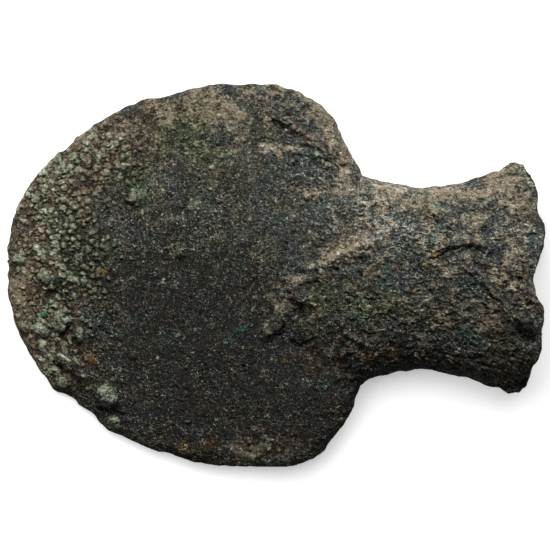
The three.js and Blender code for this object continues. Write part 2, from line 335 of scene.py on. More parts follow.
@dataclass(frozen=True)
class AxeForm:
    """The axe head's form as cast, worn and broken, with every size in millimetres."""

    edge_x: float = -53.8
    edge_y: float = 2.8
    upper_blade: BladeSide = BladeSide(38.4, -7.0, 18.1, (1.87, 2.08), (2.95, 2.75))
    lower_blade: BladeSide = BladeSide(-38.4, -5.2, 19.5, (1.9, 2.22), (2.95, 2.05))
    upper_neck: NeckSide = NeckSide(17.9, 30.1, 4.6, 1.8, 2.1)
    lower_neck: NeckSide = NeckSide(-18.9, 29.0, -4.9, 1.4, -3.8)
    flare_x: float = 49.0
    root_x: float = 17.0
    neck_fade: tuple[float, float] = (-6.0, 6.0)
    join_power: float = 14.0
    edge_half: float = 0.9
    body_half: float = 4.4
    body_x: float = 16.0
    body_power: float = 1.8
    edge_round: float = 1.6
    lens: tuple[float, float] = (2.4, 1.8)
    waist_x: float = 33.0
    waist_half: float = 8.7
    mouth_half: float = 11.4
    flare_power: float = 1.7
    flare_limit: float = 1.1
    tube: tuple[float, float] = (2.3, 2.1)
    tongue_slope: float = 0.041
    tongue_sag: float = 0.0023
    tongue_width: float = 20.5
    tongue_taper: float = 0.3
    swell_power: float = 6.0
    edge_height: float = 0.7
    rise: float = 0.0977
    mouth_x: float = 54.7
    rim_zone: float = 10.0
    rim_corner: tuple[float, float] = (4.5, 5.4)
    rim_corner_power: float = 2.8
    rim_middle: float = -0.6
    rim_half: float = 22.7
    rim_limit: float = 1.05
    wall: float = 2.7
    seat_x: float = 3.0
    seat_half_width: float = 12.5
    seat_half_height: float = 2.6
    swells: tuple[tuple[float, float, float], ...] = ((0.28, 11, 0), (0.17, 5, 7))  # height, pitch and shift
    stray: tuple[float, float] = (0.8, 1.7)  # how far ridges stray sideways, and its pitch
    beading: tuple[float, float] = (0.7, 2.3)  # how much a ridge's height varies, and its pitch
    edge_marks: tuple[EdgeMark, ...] = each(EdgeMark, (
        ((-38.6, -27.7), 4.6, (0.9, 1.2)), ((-41.6, -25.2), 2.6, (0.5, 0.7)),
        ((-44.6, -22.8), 3, (-0.4, -0.3)), ((-37.4, -26.6), 3, (-0.3, -0.5)), ((-51.5, -9), 8, (-0.35, -0.1)),
        ((-41, 25), 8, (0.45, -0.55)), ((-29, 33.5), 8, (0, 0.2)), ((-20, 37), 9, (0.1, -0.3)),
        ((11.5, 33), 7, (-0.1, 0)), ((16.5, 21), 3, (0.5, 0.1)), ((14.5, 27.5), 4, (-0.4, -0.3)),
        ((30, 18), 9, (0, -0.35)), ((52.2, 21), 4, (-0.5, -0.4)), ((18.5, -21), 3.5, (-0.1, 0.6)),
        ((14, -28), 7, (0.7, -0.4)), ((7, -36.5), 12, (0.5, -0.8)), ((12.6, -31.4), 2.2, (-0.3, 0.1)),
        ((0, -38.4), 8, (0, -0.3)), ((-16, -36.6), 6, (0, -0.3)), ((42.5, -21.6), 5, (0, -0.45)),
        ((45.4, 20.6), 3.5, (0, 0.5)), ((53.7, 13), 4.6, (-0.85, 0)), ((53.4, -13), 4, (-0.7, 0)),
        ((51.8, -18.6), 3, (-0.5, 0.1)), ((52.6, -4.6), 2.4, (-0.7, 0)),
    ))
    rim_breaks: tuple[RimBreak, ...] = each(RimBreak, (
        (-0.8, 4.8, 3.3, (1, -1)), (12.5, 3, 0.5, (1, -1)), (5.6, 2.6, 0.9, (1,)), (-9.4, 2.2, 0.9, (1,)),
        (0, 30, 0.2, (-1,)), (14, 5, 1.2, (-1,)), (-17, 4, 1, (-1,)),
    ))
    lumps: tuple[Lump, ...] = each(Lump, (
        ((-33.7, -24.2), 3.2, 1.6), ((-32.3, -29.6), 2.2, 0.9), ((-42.5, -21.8), 2.3, 0.8),
        ((-43.1, -9.1), 2.3, 1.1), ((-47, -10.9), 2.2, 0.9), ((-50.3, -10.6), 1.6, 0.5),
        ((-39.3, -11.8), 1.9, 0.8), ((-46.7, -14.4), 1.8, 0.7), ((-44, -3.4), 2.6, -0.8),
        ((-51.3, 3.3), 1.8, 0.5), ((-46.4, -0.2), 1.8, 0.6), ((-18.9, 4.5), 1.8, 0.6),
        ((-28.5, 15.6), 2.2, 0.7), ((-7, -11.5), 2, 0.5), ((-4, -36), 2.4, 0.8), ((-39.4, -25.2), 3.6, -0.6),
        ((30.6, 10.1), 2, -0.8), ((32.6, 5.8), 1.6, 0.5), ((48.6, -0.9), 2, -0.9), ((49.9, -11.8), 3, -1.3),
        ((5.4, -7.6), 2.6, -0.9), ((4.8, -14), 2, -0.6), ((7.6, -2.2), 2.2, -0.4), ((3.2, -1.9), 2, 0.9),
        ((2, -3.4), 1.4, 0.5), ((1.2, -8), 2.4, 1), ((-1.4, -11.4), 2.2, 0.9), ((0.4, -10.2), 1.4, 0.5),
        ((0.4, 35.6), 1.8, -0.5),
    ))
    ridges: tuple[Ridge, ...] = each(Ridge, (
        (((18.6, 6), (14.6, 4.2), (11.2, 3), (8.8, 0.6), (5.4, -0.9)), 1.9, 0.55),
        (((3.2, -4.3), (5.2, -5.5), (7.4, -5.6)), 0.9, 0.5),
        (((13.1, -9.7), (14.4, -11.8), (17.2, -13.4)), 1.3, 0.7),
        (((-0.2, 31.6), (3, 30), (7.4, 27.4), (10.2, 24.8)), 1.3, 0.45),
        (((0, 30.2), (3.6, 28.4), (9.4, 24.4)), 1.5, -0.3), (((3.2, 22.8), (8, 22.2), (12.6, 22)), 1.5, -0.7),
        (((34.6, 6.2), (37.8, 6.7), (40.2, 6.5), (42.6, 5.4)), 1.2, 0.6),
        (((38, 1.4), (40.4, -0.4), (43.2, -3.2), (46.2, -7)), 1.3, 0.6),
        (((46.5, -8.2), (51.5, -10.5)), 1.6, 0.7), (((-43.4, -15.9), (-41, -17.4), (-38.6, -20)), 1.5, 0.9),
        (((-35.2, -10), (-32.4, -11.6), (-29.8, -13.8), (-28.2, -16.2)), 0.9, 0.35),
        (((-24, -34.2), (-15, -35.4), (-7, -36)), 1.8, 0.5),
    ))

    def outline(self, x: Array) -> tuple[Array, Array]:
        """Middle and half width of the outline at x: the rounded union of blade and neck."""
        fade = smoothstep(x, *self.neck_fade)
        sides = []
        for blade, neck in ((self.upper_blade, self.upper_neck), (self.lower_blade, self.lower_neck)):
            broad = blade.offset(x, self.edge_x, self.edge_y)
            narrow = neck.offset(x, self.root_x, self.flare_x) * fade
            joined = np.sign(neck.waist) * power_sum(np.abs(broad), np.abs(narrow), self.join_power)
            sides.append(np.where(fade > 0, joined, broad))
        return (sides[0] + sides[1]) / 2, (sides[0] - sides[1]) / 2

    def blade_half(self, x: Array, q: Array) -> Array:
        """Half thickness of the blade: a body that thins to the edge, times a lens-shaped section."""
        along = np.clip((x - self.edge_x) / (self.body_x - self.edge_x), 0, 1)
        body = lerp(self.edge_half, self.body_half, 1 - (1 - along) ** self.body_power)
        closing = np.clip((x - self.edge_x) / self.edge_round, 0, 1)
        return body * np.sqrt(1 - (1 - closing) ** 2) * oval(q, self.lens)

    def tube_half(self, x: Array, y: Array, half: Array) -> Array:
        """Half thickness of the socket's tube: an oval section whose crown sinks into the blade."""
        inside = np.maximum(self.waist_x - x, 0)
        flare = np.clip((x - self.waist_x) / (self.flare_x - self.waist_x), 0, self.flare_limit)
        crown = lerp(self.waist_half, self.mouth_half, flare**self.flare_power)
        crown = crown - self.tongue_slope * inside - self.tongue_sag * inside**2
        width = np.minimum(half, self.tongue_width - self.tongue_taper * np.maximum(self.root_x - x, 0))
        return np.maximum(crown, 0) * oval(y / np.maximum(width, 1e-6), self.tube)

    def middle_height(self, x: Array) -> Array:
        """Height of the middle plane above the floor."""
        return self.edge_height + self.rise * (x - self.edge_x)

    def rim_back(self, y: Array, face: int) -> Array:
        """How far the rim of one wall falls back at y: its rounded corners and its breaks."""
        reach = np.minimum(np.abs(y - self.rim_middle) / self.rim_half, self.rim_limit)
        back = np.where(y > 0, *self.rim_corner) * reach**self.rim_corner_power
        for cut in self.rim_breaks:
            if face in cut.walls:
                back = back + cut.depth * np.exp(-(((y - cut.at) / cut.half) ** 2))
        return back

    def worn(self, x: Array, y: Array, q: Array, face: Array) -> tuple[Array, Array]:
        """Plan position after the rim's breaks and the outline's marks have moved it."""
        share = np.clip((x - self.mouth_x + self.rim_zone) / self.rim_zone, 0, 1)
        own = smoothstep(1 - np.abs(q), 0, 0.2)
        upper, lower = self.rim_back(y, 1), self.rim_back(y, -1)
        back = lerp((upper + lower) / 2, np.where(face > 0, upper, lower), own)
        x, y = x - share * back, y + 0 * x
        for mark in self.edge_marks:
            away = np.hypot(x - mark.at[0], y - mark.at[1]) / mark.reach
            weight = np.clip(1 - away**2, 0, 1) ** 2
            x, y = x + mark.push[0] * weight, y + mark.push[1] * weight
        return x, y

    def unevenness(self, x: Array, y: Array) -> Array:
        """Slow unevenness of the corroded skin."""
        return sum(height * plan_noise(x / pitch + shift, y / pitch) for height, pitch, shift in self.swells)

    def relief(self, x: Array, y: Array) -> Array:
        """Height of everything that stands out of the upper face."""
        height = self.unevenness(x, y)
        for lump in self.lumps:
            away = np.hypot(x - lump.at[0], y - lump.at[1]) / lump.radius
            height = height + dome(away, lump.height)
        width, pitch = self.stray
        stray_x = width * plan_noise(x / pitch + 3, y / pitch)
        stray_y = width * plan_noise(x / pitch, y / pitch + 8)
        varied, pitch = self.beading
        swell = 1 + varied * plan_noise(x / pitch + 5, y / pitch)
        for ridge in self.ridges:
            away = distance_to_line(x + stray_x, y + stray_y, ridge.line) / ridge.half
            height = height + dome(away, ridge.height) * swell
        return height

    def skin(self, x: Array, q: Array, face: Array) -> Array:
        """Points of the outer skin.

        Args:
            x: Stations along the axe.
            q: Places across each section, from -1 to 1.
            face: 1 for the upper face and -1 for the lower.

        Returns:
            The points, with their three coordinates on the last axis.
        """
        x, q, face = np.broadcast_arrays(x, q, face)
        middle, half = self.outline(x)
        thickness = power_sum(self.blade_half(x, q), self.tube_half(x, half * q, half), self.swell_power)
        px, py = self.worn(x, middle + half * q, q, face)
        raised = np.where(face > 0, self.relief(px, py), self.unevenness(px + 40, py))
        z = self.middle_height(x) + face * (thickness + np.minimum(thickness, 1) * raised)
        return np.stack([px, py, z], -1)

    def bore(self, x: Array, q: Array, face: Array) -> Array:
        """Points of the socket's inner wall, which tapers from the mouth to its flat seat."""
        x, q, face = np.broadcast_arrays(x, q, face)
        middle, half = self.outline(np.array(self.flare_x))
        share = np.clip((x - self.seat_x) / (self.mouth_x - self.seat_x), 0, 1)
        width = lerp(self.seat_half_width, half - self.wall, share)
        height = lerp(self.seat_half_height, self.mouth_half - self.wall, share)
        px, py = self.worn(x, middle + width * q, q, face)
        return np.stack([px, py, self.middle_height(x) + face * height * oval(q, self.tube)], -1)

    def stations(self, start: float, stop: float, count: int) -> Array:
        """Stations between two places along the axe, spaced evenly along the outline."""
        x = lerp(start, stop, np.linspace(0, 1, 4001) ** 2)
        half = self.outline(x)[1]
        travel = np.concatenate([[0], np.cumsum(np.hypot(np.diff(x), np.diff(half)))])
        return np.interp(np.linspace(0, travel[-1], count), travel, x)


# ---- Corrosion -----------------------------------------------------------------------------------


class Growth(Enum):
    """What grows on the bronze's surface, or stains it, in single spots."""

    VERDIGRIS = "verdigris"
    MALACHITE = "malachite"
    EARTH = "earth"
    OCHRE = "ochre"
    RUST = "rust"


@dataclass(frozen=True)
class Patch:
    """A soft-edged area of the upper face: centre, half sizes, turn in degrees, and how strong it is."""

    at: tuple[float, float]
    size: tuple[float, float]
    amount: float = 1.0
    turn: float = 0.0

    def cover(self, x: Array, y: Array) -> Array:
        """How much of the patch lies at each place: a bell that falls off with the square of the distance."""
        turn = math.radians(self.turn)
        u = (x - self.at[0]) * math.cos(turn) + (y - self.at[1]) * math.sin(turn)
        v = (y - self.at[1]) * math.cos(turn) - (x - self.at[0]) * math.sin(turn)
        return self.amount * np.exp(-((u / self.size[0]) ** 2) - (v / self.size[1]) ** 2)


@dataclass(frozen=True)
class Spot:
    """A single growth with an uneven edge: a tubercle, a disc, a streak or a stain."""

    x: float
    y: float
    radius: float
    height: float = 0.0
    strength: float = 1.0
    tone: float = 0.0  # how much paler it is, or darker
    run: tuple[float, float] = (0.0, 0.0)  # how far it is drawn out, and where to


@dataclass(frozen=True)
class Crack:
    """A slit along a broken line, or the foot of a ledge: sunk in the relief and painted dark as shade."""

    line: tuple[tuple[float, float], ...]
    half: float
    depth: float


def joint_cover(patches: tuple[Patch, ...], x: Array, y: Array) -> Array:
    """The patches' joint cover at each place, from 0 to 1."""
    left = np.ones_like(x)
    for patch in patches:
        left = left * (1 - np.clip(patch.cover(x, y), 0, 1))
    return 1 - left


@dataclass(frozen=True)
class Ground:
    """What relief and colours share, with one value, or one row, for each point of the skin."""

    points: Array
    upper: Array  # 1 on the upper face, 0 on the lower and inside the socket
    border: Array  # 1 at the outline and the rim, falling to 0 a little way in
    drift: Array  # slow unevenness
    wander: Array  # fine unevenness, which makes edges ragged
    broken: Array  # unevenness at every scale
    warp: Array  # strays in space, which keep growths from being round
    crusted: Array  # how thick the nodular crust is, from 0 to 1
    fine: Array  # how much of the fine texture the crust leaves
    necked: Array  # 0 on the blade, 1 on the neck


@dataclass(frozen=True)
class Growths:
    """The single growths, the crust's nodules and the cracks at each point."""

    masks: dict[Growth, Array]
    raised: Array  # height of the single growths
    paler: Array  # how much paler they are, with painted shade round the feet of raised ones
    knob: Array  # domes of the nodules
    foot: Array  # the ring round each nodule's foot: a groove, painted dark as shade
    bead: Array  # smaller nodules between them
    name: Array  # a number from 0 to 1 that belongs to each nodule
    slit: Array  # depth of cracks and holes, from 0 to 1


@dataclass(frozen=True)
class Texture:
    """Fine texture of patina and soil at each point."""

    wisp: Array  # thin curved threads
    crest: Array  # longer threads, which run up the slant
    wrinkle: Array
    grain: Array  # crumbs of soil
    grit: Array  # a number from 0 to 1 that belongs to each crumb
    pit: Array
    soil: Array  # how much earth lies there, from 0 to 1
    lined: Array  # the threads: raised and painted pale, as light on their crests, on patina; sunk and painted dark, as shade, in soil
    rough: Array  # how rough the skin is


@dataclass(frozen=True)
class ToneWeights:
    """How much each thing makes the surface paler, or darker where its text says so."""

    # weight of the lighter and darker reaches, which are partly painted light and shade
    shade: float = 1.2
    broken: float = 0.15
    grain: float = 0.14
    lined: float = 0.34
    grit: float = 0.12
    # painted light on the border of the +Y side
    border: float = 0.16
    crest: float = 0.2
    wrinkle: float = 0.3
    crusted: float = 0.14  # darker: painted shade over the crust's ground between the nodules
    knob: float = 0.22
    # painted highlight on the nodules' tips
    tip: float = 0.4
    foot: float = 0.35  # darker: painted shade in the ring at each nodule's foot
    bead: float = 0.2
    pit: float = 0.45  # darker: painted shade in pits
    slit: float = 0.9  # darker: painted shade in cracks and holes
    filled: float = 0.3  # darker: more painted shade in cracks and holes, laid over the soil
    verdigris: float = 0.32
    soiled: float = 0.75  # how much of the bare surface's contrast shows through soil


@dataclass(frozen=True)
class Corrosion:
    """What burial has done to the surface: where each growth lies, and its relief and colour masks.

    Pitches and heights are in millimetres. A tone is a shade's place on a finish's ramps, from 0 to 1, and
    holds painted light and shade as well as the surface's own colour.
    """

    drift_pitch: float = 6.0
    wander_pitch: float = 0.9
    broken_pitch: float = 2.2
    warp_pitch: float = 1.3
    stray_pitch: float = 0.6
    knob_pitch: float = 1.3
    bead_pitch: float = 0.75
    thread_pitches: tuple[float, float] = (1.25, 0.8)
    thread_halves: tuple[float, float] = (0.26, 0.32)
    crest_pitch: float = 2.4
    crest_half: float = 0.24
    wrinkle_pitch: float = 2.2
    grain_pitch: float = 0.55
    pit_pitch: float = 1.15
    rim_pitch: float = 3.4
    teal_pitch: float = 5.0
    knob_height: float = 0.38
    foot_depth: float = 0.12
    bead_height: float = 0.15
    wrinkle_height: float = 0.46
    crest_height: float = 0.24
    thread_height: float = 0.14
    grain_height: float = 0.06
    pit_depths: tuple[float, float] = (0.2, 0.15)  # everywhere, and how much more on the neck
    slit_depth: float = 0.8
    rim_height: float = 0.4
    sunk: float = 0.05  # how far the whole skin lies in, so that its tips stay in the axe's box
    reach: tuple[float, float] = (-0.55, 0.9)  # the deepest and the highest that the relief may be
    patina_tone: float = 0.45
    soil_tone: float = 0.66
    tones: ToneWeights = ToneWeights()
    slant: tuple[tuple[float, float, float], ...] = ((0.7, 0.35, 0), (-0.5, 0.95, 0), (0, 0, 1))
    # Nodular crust, thickest towards the upper cutting edge.
    nodular: tuple[Patch, ...] = each(Patch, (
        ((-44, 13), (10, 17), 1, -12), ((-41, 2), (10, 8), 0.95), ((-33, 22), (10, 8), 0.8, 35),
        ((-20, 29), (12, 5), 0.6, 12), ((-44, -14), (7, 8), 0.8), ((-15.5, 15), (5, 4), 0.55),
        ((-4, -35), (5, 3), 0.5),
    ))
    # Pale green growth among the nodules.
    greened: tuple[Patch, ...] = each(Patch, (
        ((-46, 20), (8, 12), 0.7, -25), ((-44, 4), (9, 8), 0.55), ((-34, 27), (8, 4), 0.6, 35),
        ((-18, 22), (9, 7), 0.55), ((-42, -12), (8, 9), 0.75), ((-15.8, 14), (3.5, 3), 0.7),
        ((12.5, 26), (2, 3), 0.7), ((49.5, 20.5), (2.2, 3), 0.95, 40), ((47, 22.5), (4, 1.2), 0.6),
        ((51.6, -8.2), (1.3, 1.6), 0.9), ((1, 0), (6, 2.4), 0.5, 45), ((12, 4.5), (5, 2), 0.5, 25),
    ))
    # Tan earth, in a film that is thickest along the upper side.
    earthy: tuple[Patch, ...] = each(Patch, (
        ((-9, 32), (6.5, 6), 0.95, -20), ((-27, 31), (14, 3.5), 0.75, 20), ((-40, 21), (6, 9), 0.5, -35),
        ((3, 36.5), (12, 3), 0.7, -8), ((11, 30.5), (6.5, 5), 0.95, -45), ((14.5, 24), (3, 5), 0.8, 20),
        ((1.4, 25.4), (5, 1.6), 0.95), ((20, 18.5), (7, 3), 0.8), ((33, 16), (18, 2.6), 0.9),
        ((46, 19), (6, 4), 0.9, 30), ((40, 9), (13, 6.5), 0.62), ((22, 10), (6, 6), 0.55),
        ((12, 13), (8, 8), 0.35), ((13, 4.6), (7, 1.9), 1, 25), ((3.6, -1.6), (4.5, 2), 1, 40),
        ((0.4, -8.6), (2.6, 4), 1, -30), ((7, -18), (9, 5), 0.45, -20), ((16, -14), (10, 6), 0.45),
        ((-6, -34.8), (7, 3.4)), ((20, 4), (8, 7), 0.4), ((34, -3), (16, 8), 0.12), ((50, 7), (4, 9), 0.3),
        ((-51, -2), (2.6, 9), 0.7), ((-46, -13), (5, 8), 0.5), ((48, -2), (6, 10), 0.4),
        ((35, -6), (12, 6), 0.3),
    ))
    # Red-brown clay, in the hollows of the crust and over the lower root of the neck.
    clayey: tuple[Patch, ...] = each(Patch, (
        ((-45, 8), (12, 26), 1, -8), ((-28, 29), (16, 6), 0.95, 20), ((-45, -14), (7, 12), 1, 20),
        ((-25, 22), (8, 5), 0.5), ((14, -14), (14, 8), 0.25, -15), ((30, -15), (16, 5), 0.3),
        ((-2, -34), (14, 4), 0.7), ((45, -8), (8, 6), 0.3), ((8, -28), (8, 5), 0.4),
    ))
    # Olive film of mixed salts and soil.
    mossy: tuple[Patch, ...] = each(Patch, (
        ((-18, 29.5), (8, 5), 1, 10), ((-14, 24), (5, 3), 0.8, -30), ((-28, 20), (6, 6), 0.7),
        ((-42, 8), (7, 9), 0.7), ((-36, 3), (6, 5), 0.6), ((-16, 14), (4, 4), 0.7),
        ((-18.9, 4.5), (2, 2), 0.6), ((24, -5), (16, 8), 0.42, -10), ((14, -14), (14, 8), 0.3, -15),
        ((12, -6), (8, 5), 0.4), ((46, 12), (8, 8), 0.25), ((36, 14), (10, 4), 0.4), ((13, 29), (4, 5), 0.4),
        ((-26, -12), (8, 4), 0.4),
    ))
    # Cool blue-grey patina, on the neck and beside its root.
    cooled: tuple[Patch, ...] = each(Patch, (
        ((36, 8), (16, 9), 0.8), ((12, 14), (11, 9), 0.9), ((2, 27), (5, 8), 0.9, 30),
        ((22, 2), (10, 8), 0.6), ((-26, 6), (10, 8), 0.4), ((34, -6), (12, 6), 0.5),
    ))
    # Lighter and darker reaches: partly the bare patina's own tone and partly painted light and shade, with
    # most lighter reaches on the +Y side, which faces the key lamp, and most darker ones on the -Y side.
    patina_light_and_shade: tuple[Patch, ...] = each(Patch, (
        ((-8, -22), (26, 17), -0.6), ((-18, -3), (18, 13), -0.28), ((4, -30), (10, 7), -0.1),
        ((34, -19), (24, 6), -0.3), ((14, 15), (12, 9), 0.24), ((-2, 8), (8, 8), 0.04),
        ((40, 11), (17, 9), 0.2), ((24, 9), (9, 8), 0.2), ((50, 6), (5, 8), 0.12), ((7, 18), (12, 4), 0.1),
        ((2, 30), (6, 6), 0.1), ((-16, -33), (10, 3), -0.08), ((-48, 6), (8, 24), 0.16),
        ((-7, 10), (3.5, 7), -0.08), ((0, 25.4), (5, 1.2), 0.32), ((33, 17.5), (18, 2.4), 0.12),
        ((-5, -35.5), (8, 3), 0.16), ((44, -18), (8, 6), 0.26), ((9, 28), (7, 6), 0.16, -45),
        ((8, 0), (9, 5), 0.18, 35), ((12, -16), (10, 6), 0.1), ((33, -1), (18, 10), 0.15),
        ((49, 3), (4, 10), 0.12),
    ))
    verdigris: tuple[Spot, ...] = each(Spot, (
        # Discs and tubercles near the cutting edge.
        (-51.4, 3.3, 1.15, 0.35, 1, 0.12), (-46.4, -0.2, 1.25, 0.4, 0.95, 0.06), (-50.4, 0.6, 0.35, 0.2),
        (-46.4, 3, 0.55, 0.3, 0.6), (-43.5, 2.7, 0.5, 0.3, 0.5, 0.2), (-39.4, 3.6, 0.85, 0.3, 0.8),
        (-40, 2.4, 0.6, 0.25, 0.8), (-33, 2.6, 1.2, 0.4, 0.45),
        (-43.4, -8.6, 1.2, 0.5, 0.8, 0.1, (0.5, -1.5)), (-41.9, -9, 0.7, 0.5, 1, 0.3),
        (-47.5, -10.3, 0.9, 0.4, 1, 0.15, (1.4, -1.4)), (-50.3, -10.6, 0.95, 0.3, 0.6, 0.05),
        (-46.5, -13.6, 0.65, 0.35, 0.9, 0.1, (-0.4, -1.6)), (-39.3, -11, 0.65, 0.45, 0.95, 0.12, (0.3, -1.8)),
        (-41.1, -12.3, 0.32, 0.35, 0.8, 0.15, (0.1, -1.4)), (-42.5, -14.3, 0.42, 0.4, 1, 0.42),
        (-41.9, -13.9, 0.4, 0.3, 1, 0.15), (-47.7, -16.5, 0.4, 0.25, 1, 0.25, (1.3, -0.5)),
        (-43.1, -16, 0.35, 0.35, 0.9, 0.32, (1.9, -1.2)), (-42.3, -17.9, 0.4, 0.3, 0.9, 0.15, (1.3, -1)),
        (-40.3, -16.7, 0.38, 0.35, 0.7, 0.12, (1.6, -2.6)), (-38.4, -20.2, 0.45, 0.35, 1, 0.15),
        (-43.6, -19.2, 0.5, 0.25, 0.8), (-45.8, -19.7, 0.6, 0.2, 0.8, 0.1),
        (-42.6, -21.6, 1.1, 0.3, 0.9, 0.08), (-45, -6.3, 0.25, 0.2, 0.8, 0.2, (1.1, 0.4)),
        (-38.6, -8.7, 0.6, 0.2, 0.6, 0.05), (-33.7, -24.2, 2.3, 0.3, 0.9, 0.1),
        (-34.6, -23.6, 0.7, 0.4, 1, 0.25), (-32.6, -25, 0.8, 0.4, 1, 0.2), (-32.3, -29.8, 1.5, 0.2, 0.9, 0.1),
        (-32.5, -20.9, 0.6, 0.25, 0.5),
        # Clusters along the upper cutting edge.
        (-42.7, 22, 0.6, 0.3, 1, 0.2), (-42.1, 20.8, 0.5, 0.3, 1, 0.25), (-43.6, 23.2, 0.9, 0.25, 0.8, 0.1),
        (-39.4, 21.4, 0.5, 0.25, 1, 0.2), (-40.6, 23.8, 0.9, 0.25, 0.9, 0.1),
        (-46.2, 20.6, 0.6, 0.25, 0.9, 0.1), (-28.5, 27.8, 0.5, 0.3, 1, 0.15),
        (-36.2, 27.8, 0.6, 0.3, 0.9, 0.1), (-32.6, 33, 0.9, 0.2, 0.6), (-28.6, 15.7, 0.9, 0.3, 0.4),
        (-15.8, 14.1, 1.2, 0.2, 0.5), (-18.9, 4.5, 1, 0.3, 0.6),
        # Along the broken ridge on the middle of the blade.
        (18.2, 5.6, 0.5, 0.2, 0.6, 0.15), (16.7, 4.3, 0.5, 0.2, 0.6, 0.12), (14.9, 3.6, 0.28, 0.2, 1, 0.4),
        (14.2, 3.2, 0.25, 0.2, 1, 0.35), (12.7, 4.3, 0.5, 0.2, 0.9, 0.15), (9.9, 2, 0.5, 0.25, 0.8, 0.15),
        (10.2, 1.7, 0.2, 0.2, 1, 0.45), (9.1, 0.8, 0.55, 0.2, 0.9, 0.15),
        (6, -1, 0.4, 0.2, 0.7, 0.1, (1.2, 0.1)), (2.3, -1.4, 0.4, 0.2, 0.8, 0.15),
        (1.5, -2.9, 0.45, 0.25, 0.9, 0.1), (1.2, -3.9, 0.5, 0.25, 0.8, 0.05),
        (0.3, -6.7, 0.6, 0.25, 0.8, 0.1), (-1.3, -7.3, 0.5, 0.2, 0.7), (1.5, -8, 0.4, 0.25, 0.9, 0.1),
        (1.8, -8.8, 0.4, 0.25, 0.9, 0.1), (-0.4, -9, 0.5, 0.25, 0.8), (-2.2, -10.9, 0.5, 0.25, 0.8, 0.1),
        (-1.1, -11.5, 0.5, 0.25, 0.9, 0.12), (-3, -12.4, 0.3, 0.25, 0.9, 0.15, (0.8, -0.4)),
        (-4.5, -7, 0.5, 0.2, 0.4),
        # On the shoulder, the lower edge and the socket's rim.
        (12.8, 27.5, 0.4, 0.2, 1, 0.2), (13.1, 24.5, 0.38, 0.2, 1, 0.25), (11.6, 27.8, 0.4, 0.1, 0.6, 0.05),
        (14.3, 25.9, 0.4, 0.1, 0.6, 0.1, (0.5, -0.1)), (-2.6, 25.9, 0.6, 0.2, 0.5, 0.15),
        (-2.9, 24.4, 0.4, 0.1, 0.7), (-1.8, -33.5, 1.1, 0.2, 0.7), (-5.2, -37, 1.5, 0.2, 0.8),
        (-8, -29.5, 0.8, 0.2, 0.5), (45.5, 21.3, 0.5, 0.1, 0.9, 0.05), (49.1, 21.6, 0.4, 0.1, 1, 0.1),
        (49.9, 21, 0.4, 0.1, 1, 0.12), (48.6, 20.8, 0.4, 0.1, 0.8, 0.05), (49.6, 20.2, 0.4, 0.1, 0.9, 0.1),
        (50.5, 19.4, 0.4, 0.1, 1, 0.12), (50.8, 18.3, 0.55, 0.1, 0.9, 0.08), (47.6, 0.1, 0.45, 0.1, 0.8, 0.1),
        (51.3, -8, 0.6, 0.1, 0.8), (51.6, -9.6, 0.35, 0.1, 0.7), (46.8, -17.2, 1.2, 0.1, 0.45),
        (48, -18.4, 0.6, 0.1, 0.4),
    ))
    malachite: tuple[Spot, ...] = each(Spot, (
        (-46.3, -7.9, 0.65, 0.45, 1, 0.05), (-44.3, -1.8, 1.3, -0.1, 0.6, -0.1), (-42.6, -3.2, 0.7, 0, 0.7),
        (-43, -0.8, 0.8, 0, 0.6), (-36.3, -5, 0.5, 0, 0.6), (-34, -10.3, 1.4, 0, 0.5),
        (-28.5, -8.6, 1.3, 0, 0.5), (-21.7, -12.6, 2.4, 0, 0.35), (-7.1, -11.1, 1.2, 0.1, 1, 0.12),
        (-6.2, -10.3, 0.5, 0.1, 1, 0.3), (-9.2, -12.9, 0.9, 0.1, 1, 0.1), (-16.5, -31, 3.2, 0, 0.3),
        (-3.4, -23.6, 0.9, 0, 0.6), (9.5, -21.8, 1.8, 0.1, 0.5), (8, -20.2, 0.8, 0.1, 0.4, 0.1),
        (-1, 21.4, 0.7, 0, 0.6), (5.8, 25.2, 0.4, 0, 0.5), (5.8, 1.4, 0.5, 0, 0.5),
        (33.3, 14, 1.3, 0, 0.5, -0.05), (41.9, 14.6, 0.6, 0, 0.7, 0.05), (50.9, 6.9, 0.8, -0.1, 0.6, -0.1),
        (27, 7.5, 0.9, 0, 0.35), (17.6, -5.6, 0.8, 0, 0.3), (32.4, -15.4, 1.2, 0, 0.3),
    ))
